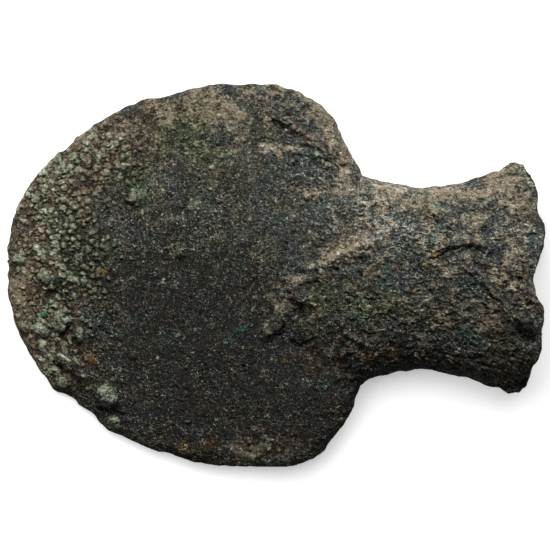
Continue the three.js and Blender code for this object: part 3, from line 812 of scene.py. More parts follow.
    earth: tuple[Spot, ...] = each(Spot, (
        (-42.7, 1.2, 0.45, 0.4, 0.9, 0.15), (-43.9, -7.8, 0.5, 0.3, 0.8, 0.15),
        (-42.2, -10.4, 0.5, 0.3, 0.8, 0.15), (-28.7, 15.4, 1, 0.3, 0.8, 0.05),
        (-19.5, -11.6, 0.9, 0.3, 0.9, 0.05), (-15.9, -8.2, 0.5, 0.15, 0.8, 0.1),
        (-17.6, 3.9, 0.5, 0.3, 0.7, 0.1), (-4.9, 19, 0.4, 0.1, 0.8, 0.15, (0.7, 0.1)),
        (2.2, 21.8, 0.32, 0.2, 1, 0.2), (-3, 25.8, 0.8, 0.2, 0.7, 0.1), (0, 26.4, 0.7, 0.2, 0.8, 0.1),
        (0.9, 24, 0.6, 0.2, 1, 0.2, (0.2, -0.8)), (2.3, 25.2, 0.5, 0.2, 0.9, 0.15, (0.7, 0.2)),
        (-0.5, 31.7, 0.3, 0.25, 0.7, 0.12, (3, -1.5)), (4, 29.4, 0.5, 0.3, 0.9, 0.12, (2.8, -1.8)),
        (7.3, 27.2, 0.4, 0.3, 0.9, 0.14, (2.6, -2.2)), (3, 33.9, 0.4, 0.1, 0.8, 0.1, (1.2, 0.1)),
        (11.2, 3.3, 0.9, 0.3, 0.7, 0.06), (8.2, -0.3, 0.5, 0.25, 0.8, 0.08),
        (4.2, -1, 0.8, 0.35, 0.9, 0.06, (-1.6, 0.2)), (3.4, -3, 0.7, 0.3, 0.7, 0.08),
        (0.8, -10.4, 0.6, 0.3, 0.7, 0.1), (-0.2, -9.9, 0.5, 0.3, 0.7, 0.05), (-1.9, -12, 0.6, 0.3, 0.8, 0.08),
        (3.2, -7.6, 0.7, 0.3, 0.4, 0.02), (7.1, -5.5, 0.22, 0.3, 1, 0.45, (0.9, -0.5)),
        (8.1, -6.1, 0.2, 0.3, 1, 0.35, (0.1, -0.5)), (3.2, -4.2, 0.2, 0.25, 0.8, 0.2, (1.9, -1.2)),
        (4.3, -12.7, 0.35, 0.2, 0.8, 0.25), (-5, -2.6, 0.3, 0.1, 0.6, 0.1),
        (13.1, -9.7, 0.3, 0.25, 0.8, 0.15, (1, -1.9)), (14.1, -11.6, 0.45, 0.3, 0.9, 0.15, (2.8, -1.7)),
        (15.4, -15.2, 0.25, 0.2, 0.7, 0.18, (2.4, -0.7)), (12.6, -20.3, 0.5, 0.2, 0.8, 0.15, (3.6, 0)),
        (-8, -17, 0.25, 0.25, 0.4, 0.12, (3.5, -1.5)), (3, -35.6, 1.1, 0.2, 0.8, 0.05),
        (30.6, 10.1, 1.5, 0, 0.9), (29.4, 10.7, 0.2, 0.1, 1, 0.35),
        (39.5, 10.2, 0.28, 0.15, 1, 0.5, (0.4, -0.1)), (40.3, 9.4, 0.2, 0.1, 1, 0.5),
        (32.6, 5.8, 0.9, 0.2, 0.9, 0.12), (35.2, 5.9, 0.25, 0.25, 0.7, 0.15, (2.6, 0.5)),
        (37.8, 6.4, 0.22, 0.25, 0.7, 0.12, (2.6, -0.2)), (37.4, 1.8, 0.25, 0.2, 0.7, 0.15, (1.6, -1.2)),
        (33.8, -0.2, 0.22, 0.2, 0.6, 0.12, (1.6, -0.6)), (38.3, 3.2, 1.1, 0, 0.6, 0.06),
        (42.5, -3.6, 0.3, 0.3, 0.7, 0.12, (3.4, -3.6)), (47.2, -9.6, 0.4, 0.3, 0.7, 0.1, (3.6, -2.6)),
        (46.2, 14.2, 0.7, 0.1, 0.7, 0.08), (50.3, 14, 1.2, 0.1, 0.5, 0.04), (36.1, 11.7, 0.7, 0.1, 0.5, 0.1),
        (32.6, 12.8, 0.6, 0.1, 0.7, 0.08, (1.8, 0.2)),
    ))
    ochre: tuple[Spot, ...] = each(Spot, (
        (-34.2, 0.6, 0.7, 0.1, 0.7, 0.05), (-40.6, -5.3, 0.7, 0, 0.5), (-9.2, -16.2, 0.8, 0, 0.8),
        (-18.6, -34.4, 1.6, 0, 0.8), (-22, -33.2, 1.6, 0, 0.5), (10.4, -0.6, 0.7, 0.1, 0.5),
        (4.2, -3.6, 0.5, 0.1, 0.6, 0.1), (3.2, -17.8, 0.9, 0, 0.6), (29.8, 2.1, 0.42, 0.1, 1, 0.1),
        (30.6, 1, 0.3, 0, 0.8), (32, 4.1, 0.5, 0, 0.7, 0, (1.8, 0.3)), (33.6, 6.6, 0.4, 0, 0.7, 0, (1, 0.5)),
        (49.8, 0.1, 0.65, 0, 0.9, 0.05), (50.2, 1, 0.4, 0, 0.6), (35, 24.6, 0.3, 0, 0.5),
    ))
    rust: tuple[Spot, ...] = each(Spot, (
        (6.4, 27, 0.38, 0.1, 1, 0.15), (-12.9, -34.3, 1.8, 0, 0.9), (-17, -32.9, 1.6, 0, 0.6),
        (-36.7, -17.1, 1.2, 0, 0.9), (7, -11, 0.8, 0.15, 0.7, 0.06), (8, -12, 0.6, 0.15, 0.8, 0.1),
        (9.6, -10.2, 1, 0.15, 0.7, 0.06), (8.8, -13.2, 1.1, 0.1, 0.8), (6.9, -14.2, 0.8, 0.1, 0.9, 0.05),
        (5.4, -16.1, 0.6, 0.1, 0.8, 0.08), (1.3, -16.7, 0.5, 0.1, 0.8, 0.05, (0.8, -0.8)),
        (12.8, -13.1, 0.9, 0.1, 0.6), (16.8, -11.2, 1.2, 0.1, 0.7, 0.04), (18.9, -16.6, 1.5, 0.1, 0.6),
        (13.5, -17.4, 1.6, 0.1, 0.5), (8.8, -18.9, 0.9, 0.1, 0.7), (-5.9, -15.2, 0.9, 0.1, 0.5),
        (1, -14, 0.9, 0.1, 0.4), (13.5, -6.5, 1.2, 0.1, 0.35), (20, -8.5, 1.6, 0, 0.35), (23, -15, 2, 0, 0.4),
        (-47.9, -12.6, 0.6, -0.1, 0.6, -0.05), (-51, -3, 1.2, 0, 0.3), (-16.6, -5.4, 0.5, 0, 0.5),
        (16, -1, 1.2, 0, 0.25),
    ))
    cracks: tuple[Crack, ...] = each(Crack, (
        (((2.1, -1.2), (0.7, -3.3)), 0.3, 0.75),
        (((31, 3.3), (33.4, 3.8), (35.2, 5.4), (37.6, 5.6), (39.8, 5.5), (41.7, 4.3)), 0.28, 0.5),
        (((38.6, 0.2), (39.6, -0.7), (41.5, -2.3), (43.4, -4.5), (45.6, -7.2)), 0.26, 0.6),
        (((30.4, -2.9), (31.9, -4.6)), 0.28, 0.6),
        (((-0.8, 31.2), (1.8, 29.9), (3.4, 29), (5.6, 27.8), (7.2, 26.8), (9.6, 25.1)), 0.2, 0.28),
        (((43.5, 16.5), (44.4, 16.6), (44.9, 15.7)), 0.22, 0.4),
        (((48, -9.4), (49.2, -11.4), (51, -13)), 0.9, 0.85),
        (((3.4, -4.9), (5.2, -6.3), (5.6, -8.2), (4.4, -9.6)), 0.75, 0.55),
        (((1.9, -10.4), (1.2, -11.9), (-1.6, -12.9)), 0.3, 0.6),
        (((3.2, -13.4), (5.2, -14.2), (8.2, -12.8)), 0.5, 0.6), (((-35.5, -26.7), (-30.5, -27.9)), 0.6, 0.5),
        (((-41, -10.4), (-41.8, -11.6), (-42.8, -11.9)), 0.5, 0.8),
        (((-44.4, -17.2), (-41.4, -19.6)), 0.28, 0.5),
        (((-35.2, -10.4), (-32.5, -12), (-30, -14.2), (-28.4, -16.6)), 0.16, 0.35),
        (((-45.8, -4.4), (-43.6, -3.2), (-42.2, -4.4)), 0.8, 0.45), (((6.6, -1.8), (8.6, -1.7)), 0.6, 0.35),
        (((-9.8, -17.4), (-5.6, -19.4)), 0.2, 0.3),
    ))
    holes: tuple[Lump, ...] = each(Lump, (
        ((41.5, 9.2), 0.6, 0.95), ((51, 1.6), 0.5, 0.95), ((31.5, 11.8), 0.45, 0.8), ((32.2, 10.6), 0.3, 0.5),
        ((48.6, -0.8), 0.6, 0.8), ((45.5, 13), 0.35, 0.5), ((50.4, -5.5), 0.8, 0.7), ((-47, -1.1), 0.25, 0.5),
        ((28.6, 2.7), 0.3, 0.5), ((0.4, 35.6), 0.7, 0.5), ((-1, 35.6), 0.4, 0.4),
    ))

    def ground(self, points: Array, upper: Array, border: Array) -> Ground:
        """Works out what relief and colours share at points of the skin.

        Args:
            points: Points of the clean form, one row each, in millimetres.
            upper: 1 on the upper face, 0 on the lower and inside the socket.
            border: 1 at the outline and the rim, falling to 0 a little way in.

        Returns:
            The ground that the corrosion grows on.
        """
        x, y = points[:, 0], points[:, 1]
        drift = Noise(Seed.DRIFT).layered(points, self.drift_pitch, 3)
        warp = Noise(Seed.WARP).strays(points, self.warp_pitch)
        crusted = np.clip(joint_cover(self.nodular, x, y) * upper + 0.3 * drift * upper, 0, 1)
        return Ground(
            points=points,
            upper=upper,
            border=border,
            drift=drift,
            wander=Noise(Seed.WANDER).layered(points, self.wander_pitch, 2),
            broken=Noise(Seed.BROKEN).layered(points + 0.3 * warp, self.broken_pitch, 4, 0.6),
            warp=warp,
            crusted=crusted,
            fine=1 - 0.6 * crusted,
            necked=smoothstep(x + 0.35 * y, -4, 14),
        )

    def growths(self, at: Ground) -> Growths:
        """Works out the single growths, nodules and cracks.

        Args:
            at: The ground they grow on.

        Returns:
            The growths, with the nodules low where a single growth covers them.
        """
        x, y = at.points[:, 0], at.points[:, 1]
        masks, raised, paler = self.strains(x, y, at.wander)
        raised = raised * at.upper
        knob, foot, bead, name = self.nodules(at)
        bare = 1 - 0.85 * np.clip(raised / 0.3, 0, 1)
        slit = self.slits(x, y, at.wander, at.broken) * at.upper
        return Growths(masks, raised, paler, knob * bare, foot * bare, bead * bare, name, slit)

    def strains(self, x: Array, y: Array, wander: Array) -> tuple[dict[Growth, Array], Array, Array]:
        """Masks of the single growths, how far they stand out, and how much paler they are, with painted
        shade round the feet of raised ones.
        """
        masks, raised, paler = {}, np.zeros_like(x), np.zeros_like(x)
        for growth in Growth:
            mask = masks[growth] = np.zeros_like(x)
            for spot in getattr(self, growth.value):
                end = (spot.x + spot.run[0], spot.y + spot.run[1])
                reach = 2 * spot.radius + math.hypot(*spot.run)
                near = np.flatnonzero((np.abs(x - spot.x) < reach) & (np.abs(y - spot.y) < reach))
                away = distance_to_line(x[near], y[near], ((spot.x, spot.y), end)) / spot.radius
                away = away * (1 + 0.3 * wander[near])
                mask[near] = np.maximum(mask[near], spot.strength * smoothstep(away, 1.15, 0.75))
                moat = 0.3 * np.exp(-(((away - 1.2) / 0.16) ** 2))
                raised[near] += spot.height * (np.sqrt(np.clip(1 - away**4, 0, 1)) - moat)
                # Painted shade: darker in the ring round the foot of each raised growth, more so the higher
                # it stands.
                paler[near] += spot.tone * smoothstep(away, 1.1, 0.5) - 0.5 * spot.height * moat
        return masks, raised, paler

    def nodules(self, at: Ground) -> tuple[Array, Array, Array, Array]:
        """Round growths of the crust, one round each scattered point.

        Args:
            at: The ground they grow on.

        Returns:
            The nodules' domes, the ring at their feet (a groove, painted dark as shade), smaller beads, and a
            number from 0 to 1 for each.
        """
        stray = Noise(Seed.STRAY).strays(at.points, self.stray_pitch)
        near, _, name = Noise(Seed.KNOBS).cells(at.points + 0.32 * at.warp + 0.16 * stray, self.knob_pitch)
        away = near / (0.42 + 0.26 * name)
        present = smoothstep(at.crusted - 0.85 * name, -0.1, 0.1)
        knob = present * np.clip(1 - away**2, 0, 1) ** 0.7 * (1 + 0.35 * stray[:, 0])
        foot = present * np.exp(-(((away - 1.08) / 0.16) ** 2))
        near, far, small = Noise(Seed.BEADS).cells(at.points + 0.2 * at.warp + 0.1 * stray, self.bead_pitch)
        bead = np.sqrt(np.clip(1 - (near / 0.62) ** 2, 0, 1)) * smoothstep(far - near, 0, 0.3)
        return knob, foot, bead * smoothstep(at.crusted + 0.2 - small, -0.12, 0.12), name

    def slits(self, x: Array, y: Array, wander: Array, broken: Array) -> Array:
        """Depth, from 0 to 1, of the cracks and holes, with uneven lips."""
        slit = np.zeros_like(x)
        for crack in self.cracks:
            half = crack.half * (1 + 0.4 * broken)
            away = distance_to_line(x + 0.4 * wander, y + 0.4 * broken, crack.line) / half
            slit = np.maximum(slit, crack.depth * np.clip(1 - away**2, 0, 1))
        for hole in self.holes:
            away = np.hypot(x - hole.at[0], y - hole.at[1]) / hole.radius * (1 + 0.2 * wander)
            slit = np.maximum(slit, hole.height * np.clip(1 - away**4, 0, 1))
        return slit

    def texture(self, at: Ground) -> Texture:
        """Works out threads, wrinkles, crumbs and pits, and the soil that lies between them.

        Args:
            at: The ground they lie on.

        Returns:
            The fine texture.
        """
        x, y = at.points[:, 0], at.points[:, 1]
        bent = at.points * [0.9, 1, 1] + 0.5 * at.warp
        slanted = bent @ np.array(self.slant)
        seeds = (Seed.THREADS, Seed.FINE_THREADS)
        coarse, fine = (
            Noise(seed).threads(bent, pitch, half)
            for seed, pitch, half in zip(seeds, self.thread_pitches, self.thread_halves)
        )
        wisp = np.maximum(coarse, 0.8 * fine)
        near, far, grit = Noise(Seed.GRAIN).cells(bent, self.grain_pitch)
        grain = smoothstep(far - near, 0.0, 0.45) * (1 - 0.5 * near)
        near, _, chance = Noise(Seed.PITS).cells(slanted * [0.6, 1.1, 1] + 0.15 * at.warp, self.pit_pitch)
        often = 0.25 + 0.4 * at.necked
        pit = np.where(chance < often, np.clip(1 - (near / (0.16 + 0.45 * chance)) ** 2, 0, 1), 0)
        film = joint_cover(self.earthy, x, y) * at.upper + 0.18 * (1 - at.upper)
        film = film + 0.4 * at.drift + 0.45 * at.broken
        film = film - 0.2 * (1 - wisp) * (0.3 + at.necked) + 0.3 * (grain - 0.6)
        soil = smoothstep(film, 0.12 - 0.2 * at.necked, 0.7)
        return Texture(
            wisp=wisp,
            crest=Noise(Seed.CRESTS).threads(slanted, self.crest_pitch, self.crest_half),
            wrinkle=Noise(Seed.WRINKLES).ridged(slanted, self.wrinkle_pitch, 3) - 0.45,
            grain=grain,
            grit=grit,
            pit=pit,
            soil=soil,
            lined=wisp * lerp(1.0, -0.8, soil),
            rough=(0.35 + 0.65 * at.necked) * (1 - 0.6 * at.border) * (1 - 0.75 * at.crusted),
        )

    def relief(self, at: Ground, on: Growths, skin: Texture) -> Array:
        """Adds up the relief.

        Args:
            at: The ground.
            on: The growths on it.
            skin: Its fine texture.

        Returns:
            How far each point moves out along the surface's normal, in millimetres.
        """
        move = 0.1 * at.broken * (1 + 0.7 * at.necked) + on.raised * (0.8 + 0.3 * on.bead + 0.3 * at.broken)
        move = move + self.knob_height * on.knob - self.foot_depth * on.foot + self.bead_height * on.bead
        move = move + skin.rough * (self.wrinkle_height * skin.wrinkle + self.crest_height * skin.crest)
        move = move + self.thread_height * at.fine * skin.lined
        move = move + self.grain_height * (skin.grain - 0.5)
        deep, deeper = self.pit_depths
        move = move * (1 - 0.6 * at.border) - (deep + deeper * at.necked) * skin.pit
        move = move - self.slit_depth * on.slit
        bumps = self.rim_height * Noise(Seed.RIM).layered(at.points, self.rim_pitch, 2) - 0.08
        move = move + at.border * bumps
        return np.clip(move - self.sunk, *self.reach)

    def tone(self, at: Ground, on: Growths, skin: Texture, choice: Array) -> Array:
        """Adds up the tones: tips and threads are pale, partly as painted highlights, hollows, pits and
        cracks dark as painted shade, and the +Y side paler and the -Y side darker, partly as painted light
        and shade.

        Args:
            at: The ground.
            on: The growths on it.
            skin: Its fine texture.
            choice: A number from 0 to 1 for each nodule, which says how bright the painted highlight on its
                tip is.

        Returns:
            How pale each point is: a place on the finish's ramps.
        """
        x, y = at.points[:, 0], at.points[:, 1]
        # Partly painted light and shade: the reaches make the +Y side, towards the key lamp, paler and the -Y
        # side darker.
        shade = sum(patch.cover(x, y) for patch in self.patina_light_and_shade) * at.upper
        weight = self.tones
        tone = self.patina_tone + weight.shade * shade + weight.broken * at.broken
        tone = tone + weight.grain * (skin.grain - 0.6)
        # Painted light and shade on the threads: paler where they stand out of the patina, darker where they
        # sink into soil.
        tone = tone + at.fine * (weight.lined * (skin.lined - 0.3) + weight.grit * (skin.grit - 0.5))
        # Painted light: the border is made paler along the +Y side of the outline, which faces the key lamp,
        # and along most of the cutting edge.
        tone = tone + weight.border * at.border * at.upper * smoothstep(y - 0.3 * x, -8, 4)
        # Painted light and shade on the relief's wrinkles and crests: crests paler, troughs darker.
        tone = tone + skin.rough * (weight.crest * skin.crest + weight.wrinkle * skin.wrinkle)
        # Painted light and shade on the crust: its ground darker, each nodule's tip paler as a highlight, and
        # the ring at its foot darker.
        tone = tone - weight.crusted * at.crusted + weight.knob * on.knob
        tone = tone + weight.tip * choice * np.clip(on.knob, 0, 1) ** 3
        tone = tone - weight.foot * on.foot + weight.bead * on.bead
        # Painted shade in pits, cracks and holes.
        tone = tone - weight.pit * skin.pit - weight.slit * on.slit + on.paler * at.upper
        salts = on.masks[Growth.VERDIGRIS] * at.upper * (0.6 + 0.6 * at.broken)
        tone = tone + weight.verdigris * salts
        soiled = self.soil_tone + weight.soiled * (tone - 0.5)
        # Painted shade in cracks and holes again, on top of the soil.
        return lerp(tone, soiled, skin.soil) - weight.filled * on.slit

    def grow(self, points: Array, upper: Array, border: Array) -> tuple[Array, dict[str, Array]]:
        """Relief and masks of the corrosion at points of the skin.

        Args:
            points: Points of the clean form, one row each, in millimetres.
            upper: 1 on the upper face, 0 on the lower and inside the socket.
            border: 1 at the outline and the rim, falling to 0 a little way in.

        Returns:
            How far each point moves out along the surface's normal, in millimetres, and the colour masks.
        """
        at = self.ground(points, upper, border)
        on, skin = self.growths(at), self.texture(at)
        x, y, drift, broken = points[:, 0], points[:, 1], at.drift, at.broken
        choice = (on.name * 37) % 1
        clay, green, moss, cold = (
            joint_cover(patches, x, y) * upper
            for patches in (self.clayey, self.greened, self.mossy, self.cooled)
        )
        tips = np.clip(np.maximum(on.knob, 0.7 * on.bead), 0, 1)
        green = tips * smoothstep(np.clip(green + 0.25 * drift, 0, 1) - 0.8 * choice, -0.3, 0.2)
        ragged = smoothstep(at.wander + 0.5 * skin.wisp + 0.5 * tips, -0.9, 0.1)
        teal = 0.28 * smoothstep(Noise(Seed.TEAL).layered(points, self.teal_pitch, 4, 0.6), 0.35, 0.9)
        soil = np.maximum(skin.soil * at.fine, 0.5 * tips * (1 - green))
        marks = {growth: mask * upper for growth, mask in on.masks.items()}
        stained = np.clip(0.9 + broken, 0, 1)
        return self.relief(at, on, skin), {
            "tone": np.clip(self.tone(at, on, skin, choice), 0, 1),
            "smooth": np.clip(0.4 * soil + 0.6 * at.crusted, 0, 0.7),
            "pitted": np.clip(at.necked * (0.5 + 0.8 * drift + 0.5 * broken), 0, 1),
            "clay": 0.9 * smoothstep(clay + 0.3 * drift - 0.2 * broken, 0.2, 0.9),
            "earth": np.maximum(soil, marks[Growth.EARTH]) * (0.85 - 0.12 * at.necked),
            "verdigris": np.clip(np.maximum(0.9 * green, marks[Growth.VERDIGRIS] * ragged), 0, 1),
            "malachite": np.clip(np.maximum(marks[Growth.MALACHITE] * (0.7 + 0.4 * broken), teal), 0, 1),
            "olive": 0.8 * smoothstep(moss + 0.4 * drift + 0.2 * (skin.grit - 0.5), 0.1, 0.9),
            "ochre": marks[Growth.OCHRE] * stained,
            "rust": marks[Growth.RUST] * stained,
            "warmth": np.clip(0.65 - 0.375 * cold + 0.7 * drift + 0.4 * broken, 0, 1),
        }


# ---- Meshes --------------------------------------------------------------------------------------


@dataclass
class Shell:
    """Parts of one mesh: its points, faces, and each face corner's place on the piece's own map."""

    points: Array
    faces: list[Array]
    corners: list[Array]
    layers: dict[str, Array]

    def make(self, name: str) -> bpy.types.Object:
        """Makes a smooth object of the shell, at the origin, from millimetres."""
        mesh = bpy.data.meshes.new(name)
        flat = np.concatenate([f.ravel() for f in self.faces]).astype(np.int32)
        sizes = np.concatenate([np.full(len(f), f.shape[1]) for f in self.faces])
        mesh.vertices.add(len(self.points))
        mesh.vertices.foreach_set("co", (self.points * MM).astype(np.float32).ravel())
        mesh.loops.add(len(flat))
        mesh.loops.foreach_set("vertex_index", flat)
        mesh.polygons.add(len(sizes))
        mesh.polygons.foreach_set("loop_start", np.concatenate([[0], np.cumsum(sizes)[:-1]]).astype(np.int32))
        mesh.update(calc_edges=True)
        for layer, values in self.layers.items():
            mesh.attributes.new(layer, "FLOAT", "POINT").data.foreach_set("value", values.astype(np.float32))
        uv = np.concatenate([c.reshape(-1, 2) for c in self.corners]).astype(np.float32)
        mesh.uv_layers.new(name="OFBake").uv.foreach_set("vector", uv.ravel())
        mesh.polygons.foreach_set("use_smooth", np.ones(len(sizes), bool))
        item = bpy.data.objects.new(name, mesh)
        bpy.context.scene.collection.objects.link(item)
        return item


def grid_faces(rows: int, columns: int, wrapped: bool) -> tuple[Array, Array]:
    """Four-sided faces of a grid, and their corners' places on a unit map.

    Args:
        rows: Rows of points.
        columns: Columns of points.
        wrapped: Whether the last column joins the first.

    Returns:
        The faces as point numbers, and the corners' places with u along the rows and v along the columns.
    """
    across = columns if wrapped else columns - 1
    i, j = (a.ravel() for a in np.meshgrid(np.arange(rows - 1), np.arange(across), indexing="ij"))
    steps = ((0, 0), (0, 1), (1, 1), (1, 0))
    faces = np.stack([(i + a) * columns + (j + b) % columns for a, b in steps], -1)
    places = np.stack([np.stack([(i + a) / (rows - 1), (j + b) / across], -1) for a, b in steps], 1)
    return faces, places


def normals_of(rings: Array, wrapped: bool) -> Array:
    """Unit normals of a grid of points, from the cross product of its two directions."""
    along = np.gradient(rings, axis=0)
    around = (np.roll(rings, -1, 1) - np.roll(rings, 1, 1)) / 2 if wrapped else np.gradient(rings, axis=1)
    normal = np.cross(around, along)
    return normal / np.maximum(np.linalg.norm(normal, axis=-1, keepdims=True), 1e-9)


def boxed(points: Array) -> Array:
    """Keeps points inside the casting's box, which also makes flat the spots that touch the floor."""
    low, high = (np.array(corner) / MM for corner in CAD_BOX)
    return np.clip(points, low, high)


@dataclass(frozen=True)
class Overlap:
    """How the corrosion skin laps the casting: it dips near the outline, and the casting sinks inside."""

    margin: float = 0.25  # from the outline to the skin's border
    dip: float = 0.5
    risen: float = 1.1  # distance from the outline at which the skin is at its full height
    sunk: float = 0.62
    under: float = 0.85  # depth of the skin's underside
    border: tuple[float, float] = (2.2, 0.2)  # from here out to here, corrosion turns into the outline's own
    covered: tuple[float, float] = (1.0, 1.9)  # from here in to here, the casting sinks below the skin

    def inset(self, form: AxeForm, x: Array, q: Array) -> Array:
        """Distance in from the outline, the cutting edge and the rim."""
        half = form.outline(x)[1]
        return np.minimum((1 - np.abs(q)) * half, np.minimum(x - form.edge_x, form.mouth_x - x))


@dataclass
class Casting:
    """The cast bronze itself: outer skin, broken rim and hollow socket in one closed surface."""

    form: AxeForm
    corrosion: Corrosion
    overlap: Overlap
    stations: int = 300
    columns_above: int = 90
    columns_below: int = 110
    lip_rings: int = 5
    bore_rings: int = 30
    bore_start: float = 0.6  # how far the bore's first ring lies in from the rim
    column_mix: tuple[float, float] = (0.3, 0.7)  # shares of even columns and of ones crowded outwards
    cap_map: float = 0.01  # each pole's share of the piece's own map

    def ring(self) -> tuple[Array, Array]:
        """Places and faces of one ring's columns: across the upper face, and back below."""
        above = np.linspace(1, -1, self.columns_above, endpoint=False)
        below = np.linspace(-1, 1, self.columns_below, endpoint=False)
        t = np.concatenate([above, below])
        face = np.concatenate([np.ones(self.columns_above), -np.ones(self.columns_below)])
        even, crowded = self.column_mix
        return even * t + crowded * np.sin(np.pi * t / 2), face

    def build(self) -> bpy.types.Object:
        """Builds the closed surface: a pole at the cutting edge, the skin, the lip, the bore and its seat."""
        form = self.form
        q, face = self.ring()
        xs = form.stations(form.edge_x, form.mouth_x, self.stations)[1:-1, None]
        outer = form.skin(xs, q, face)
        rim_out, rim_in = form.skin(form.mouth_x, q, face), form.bore(form.mouth_x, q, face)
        turn = np.linspace(0, math.pi, self.lip_rings + 2)[1:-1, None, None]
        lip = lerp(rim_out, rim_in, (1 - np.cos(turn)) / 2)
        depths = np.linspace(form.mouth_x - self.bore_start, form.seat_x, self.bore_rings)[:, None]
        rings = np.concatenate([outer, lip, form.bore(depths, q, face)])
        count, n = rings.shape[:2]
        upper = np.zeros((count, n))
        upper[: len(outer)] = face > 0
        upper[len(outer) : len(outer) + 2] = 0.5 * (face > 0)
        flat = rings.reshape(-1, 3)
        rim = np.full((count - len(xs), 1), form.mouth_x)  # lip and bore count as at the rim
        inset = self.overlap.inset(form, np.concatenate([xs, rim]), q)
        outside = (np.arange(count) < len(outer) + self.lip_rings)[:, None]
        border = smoothstep(inset, *self.overlap.border) * outside
        move, layers = self.corrosion.grow(flat, upper.ravel(), border.ravel())
        move = move.reshape(count, n)
        hidden = smoothstep(self.overlap.inset(form, xs, q), *self.overlap.covered) * (face > 0)
        move[: len(outer)] = lerp(move[: len(outer)], -self.overlap.sunk, hidden)
        move[-1] = 0
        moved = flat + normals_of(rings, wrapped=True).reshape(-1, 3) * move.reshape(-1, 1)
        tip = form.skin(np.array(form.edge_x), np.array(0.0), np.array(1.0))
        seat_y = form.outline(np.array(form.flare_x))[0]
        seat = np.array([form.seat_x, seat_y, form.middle_height(form.seat_x)])
        quads, places = grid_faces(count, n, wrapped=True)
        column = np.arange(n)
        after = (column + 1) % n
        tip_fan = np.stack([np.full(n, len(flat)), after, column], -1)
        last = (count - 1) * n
        seat_fan = np.stack([np.full(n, len(flat) + 1), last + column, last + after], -1)
        cap = self.cap_map
        turns = np.stack([column, column + 1, column + 0.5], -1) / n
        tip_places = np.stack([np.array([0, cap, cap]) + 0 * turns, turns[:, [2, 1, 0]]], -1)
        seat_places = np.stack([np.array([1, 1 - cap, 1 - cap]) + 0 * turns, turns[:, [2, 0, 1]]], -1)
        return Shell(
            boxed(np.concatenate([moved, tip[None], seat[None]])),
            [quads, tip_fan, seat_fan],
            [places * [1 - 2 * cap, 1] + [cap, 0], tip_places, seat_places],
            {layer: np.concatenate([v, v[:1], v[-1:]]) for layer, v in layers.items()},
        ).make("bronze_casting")


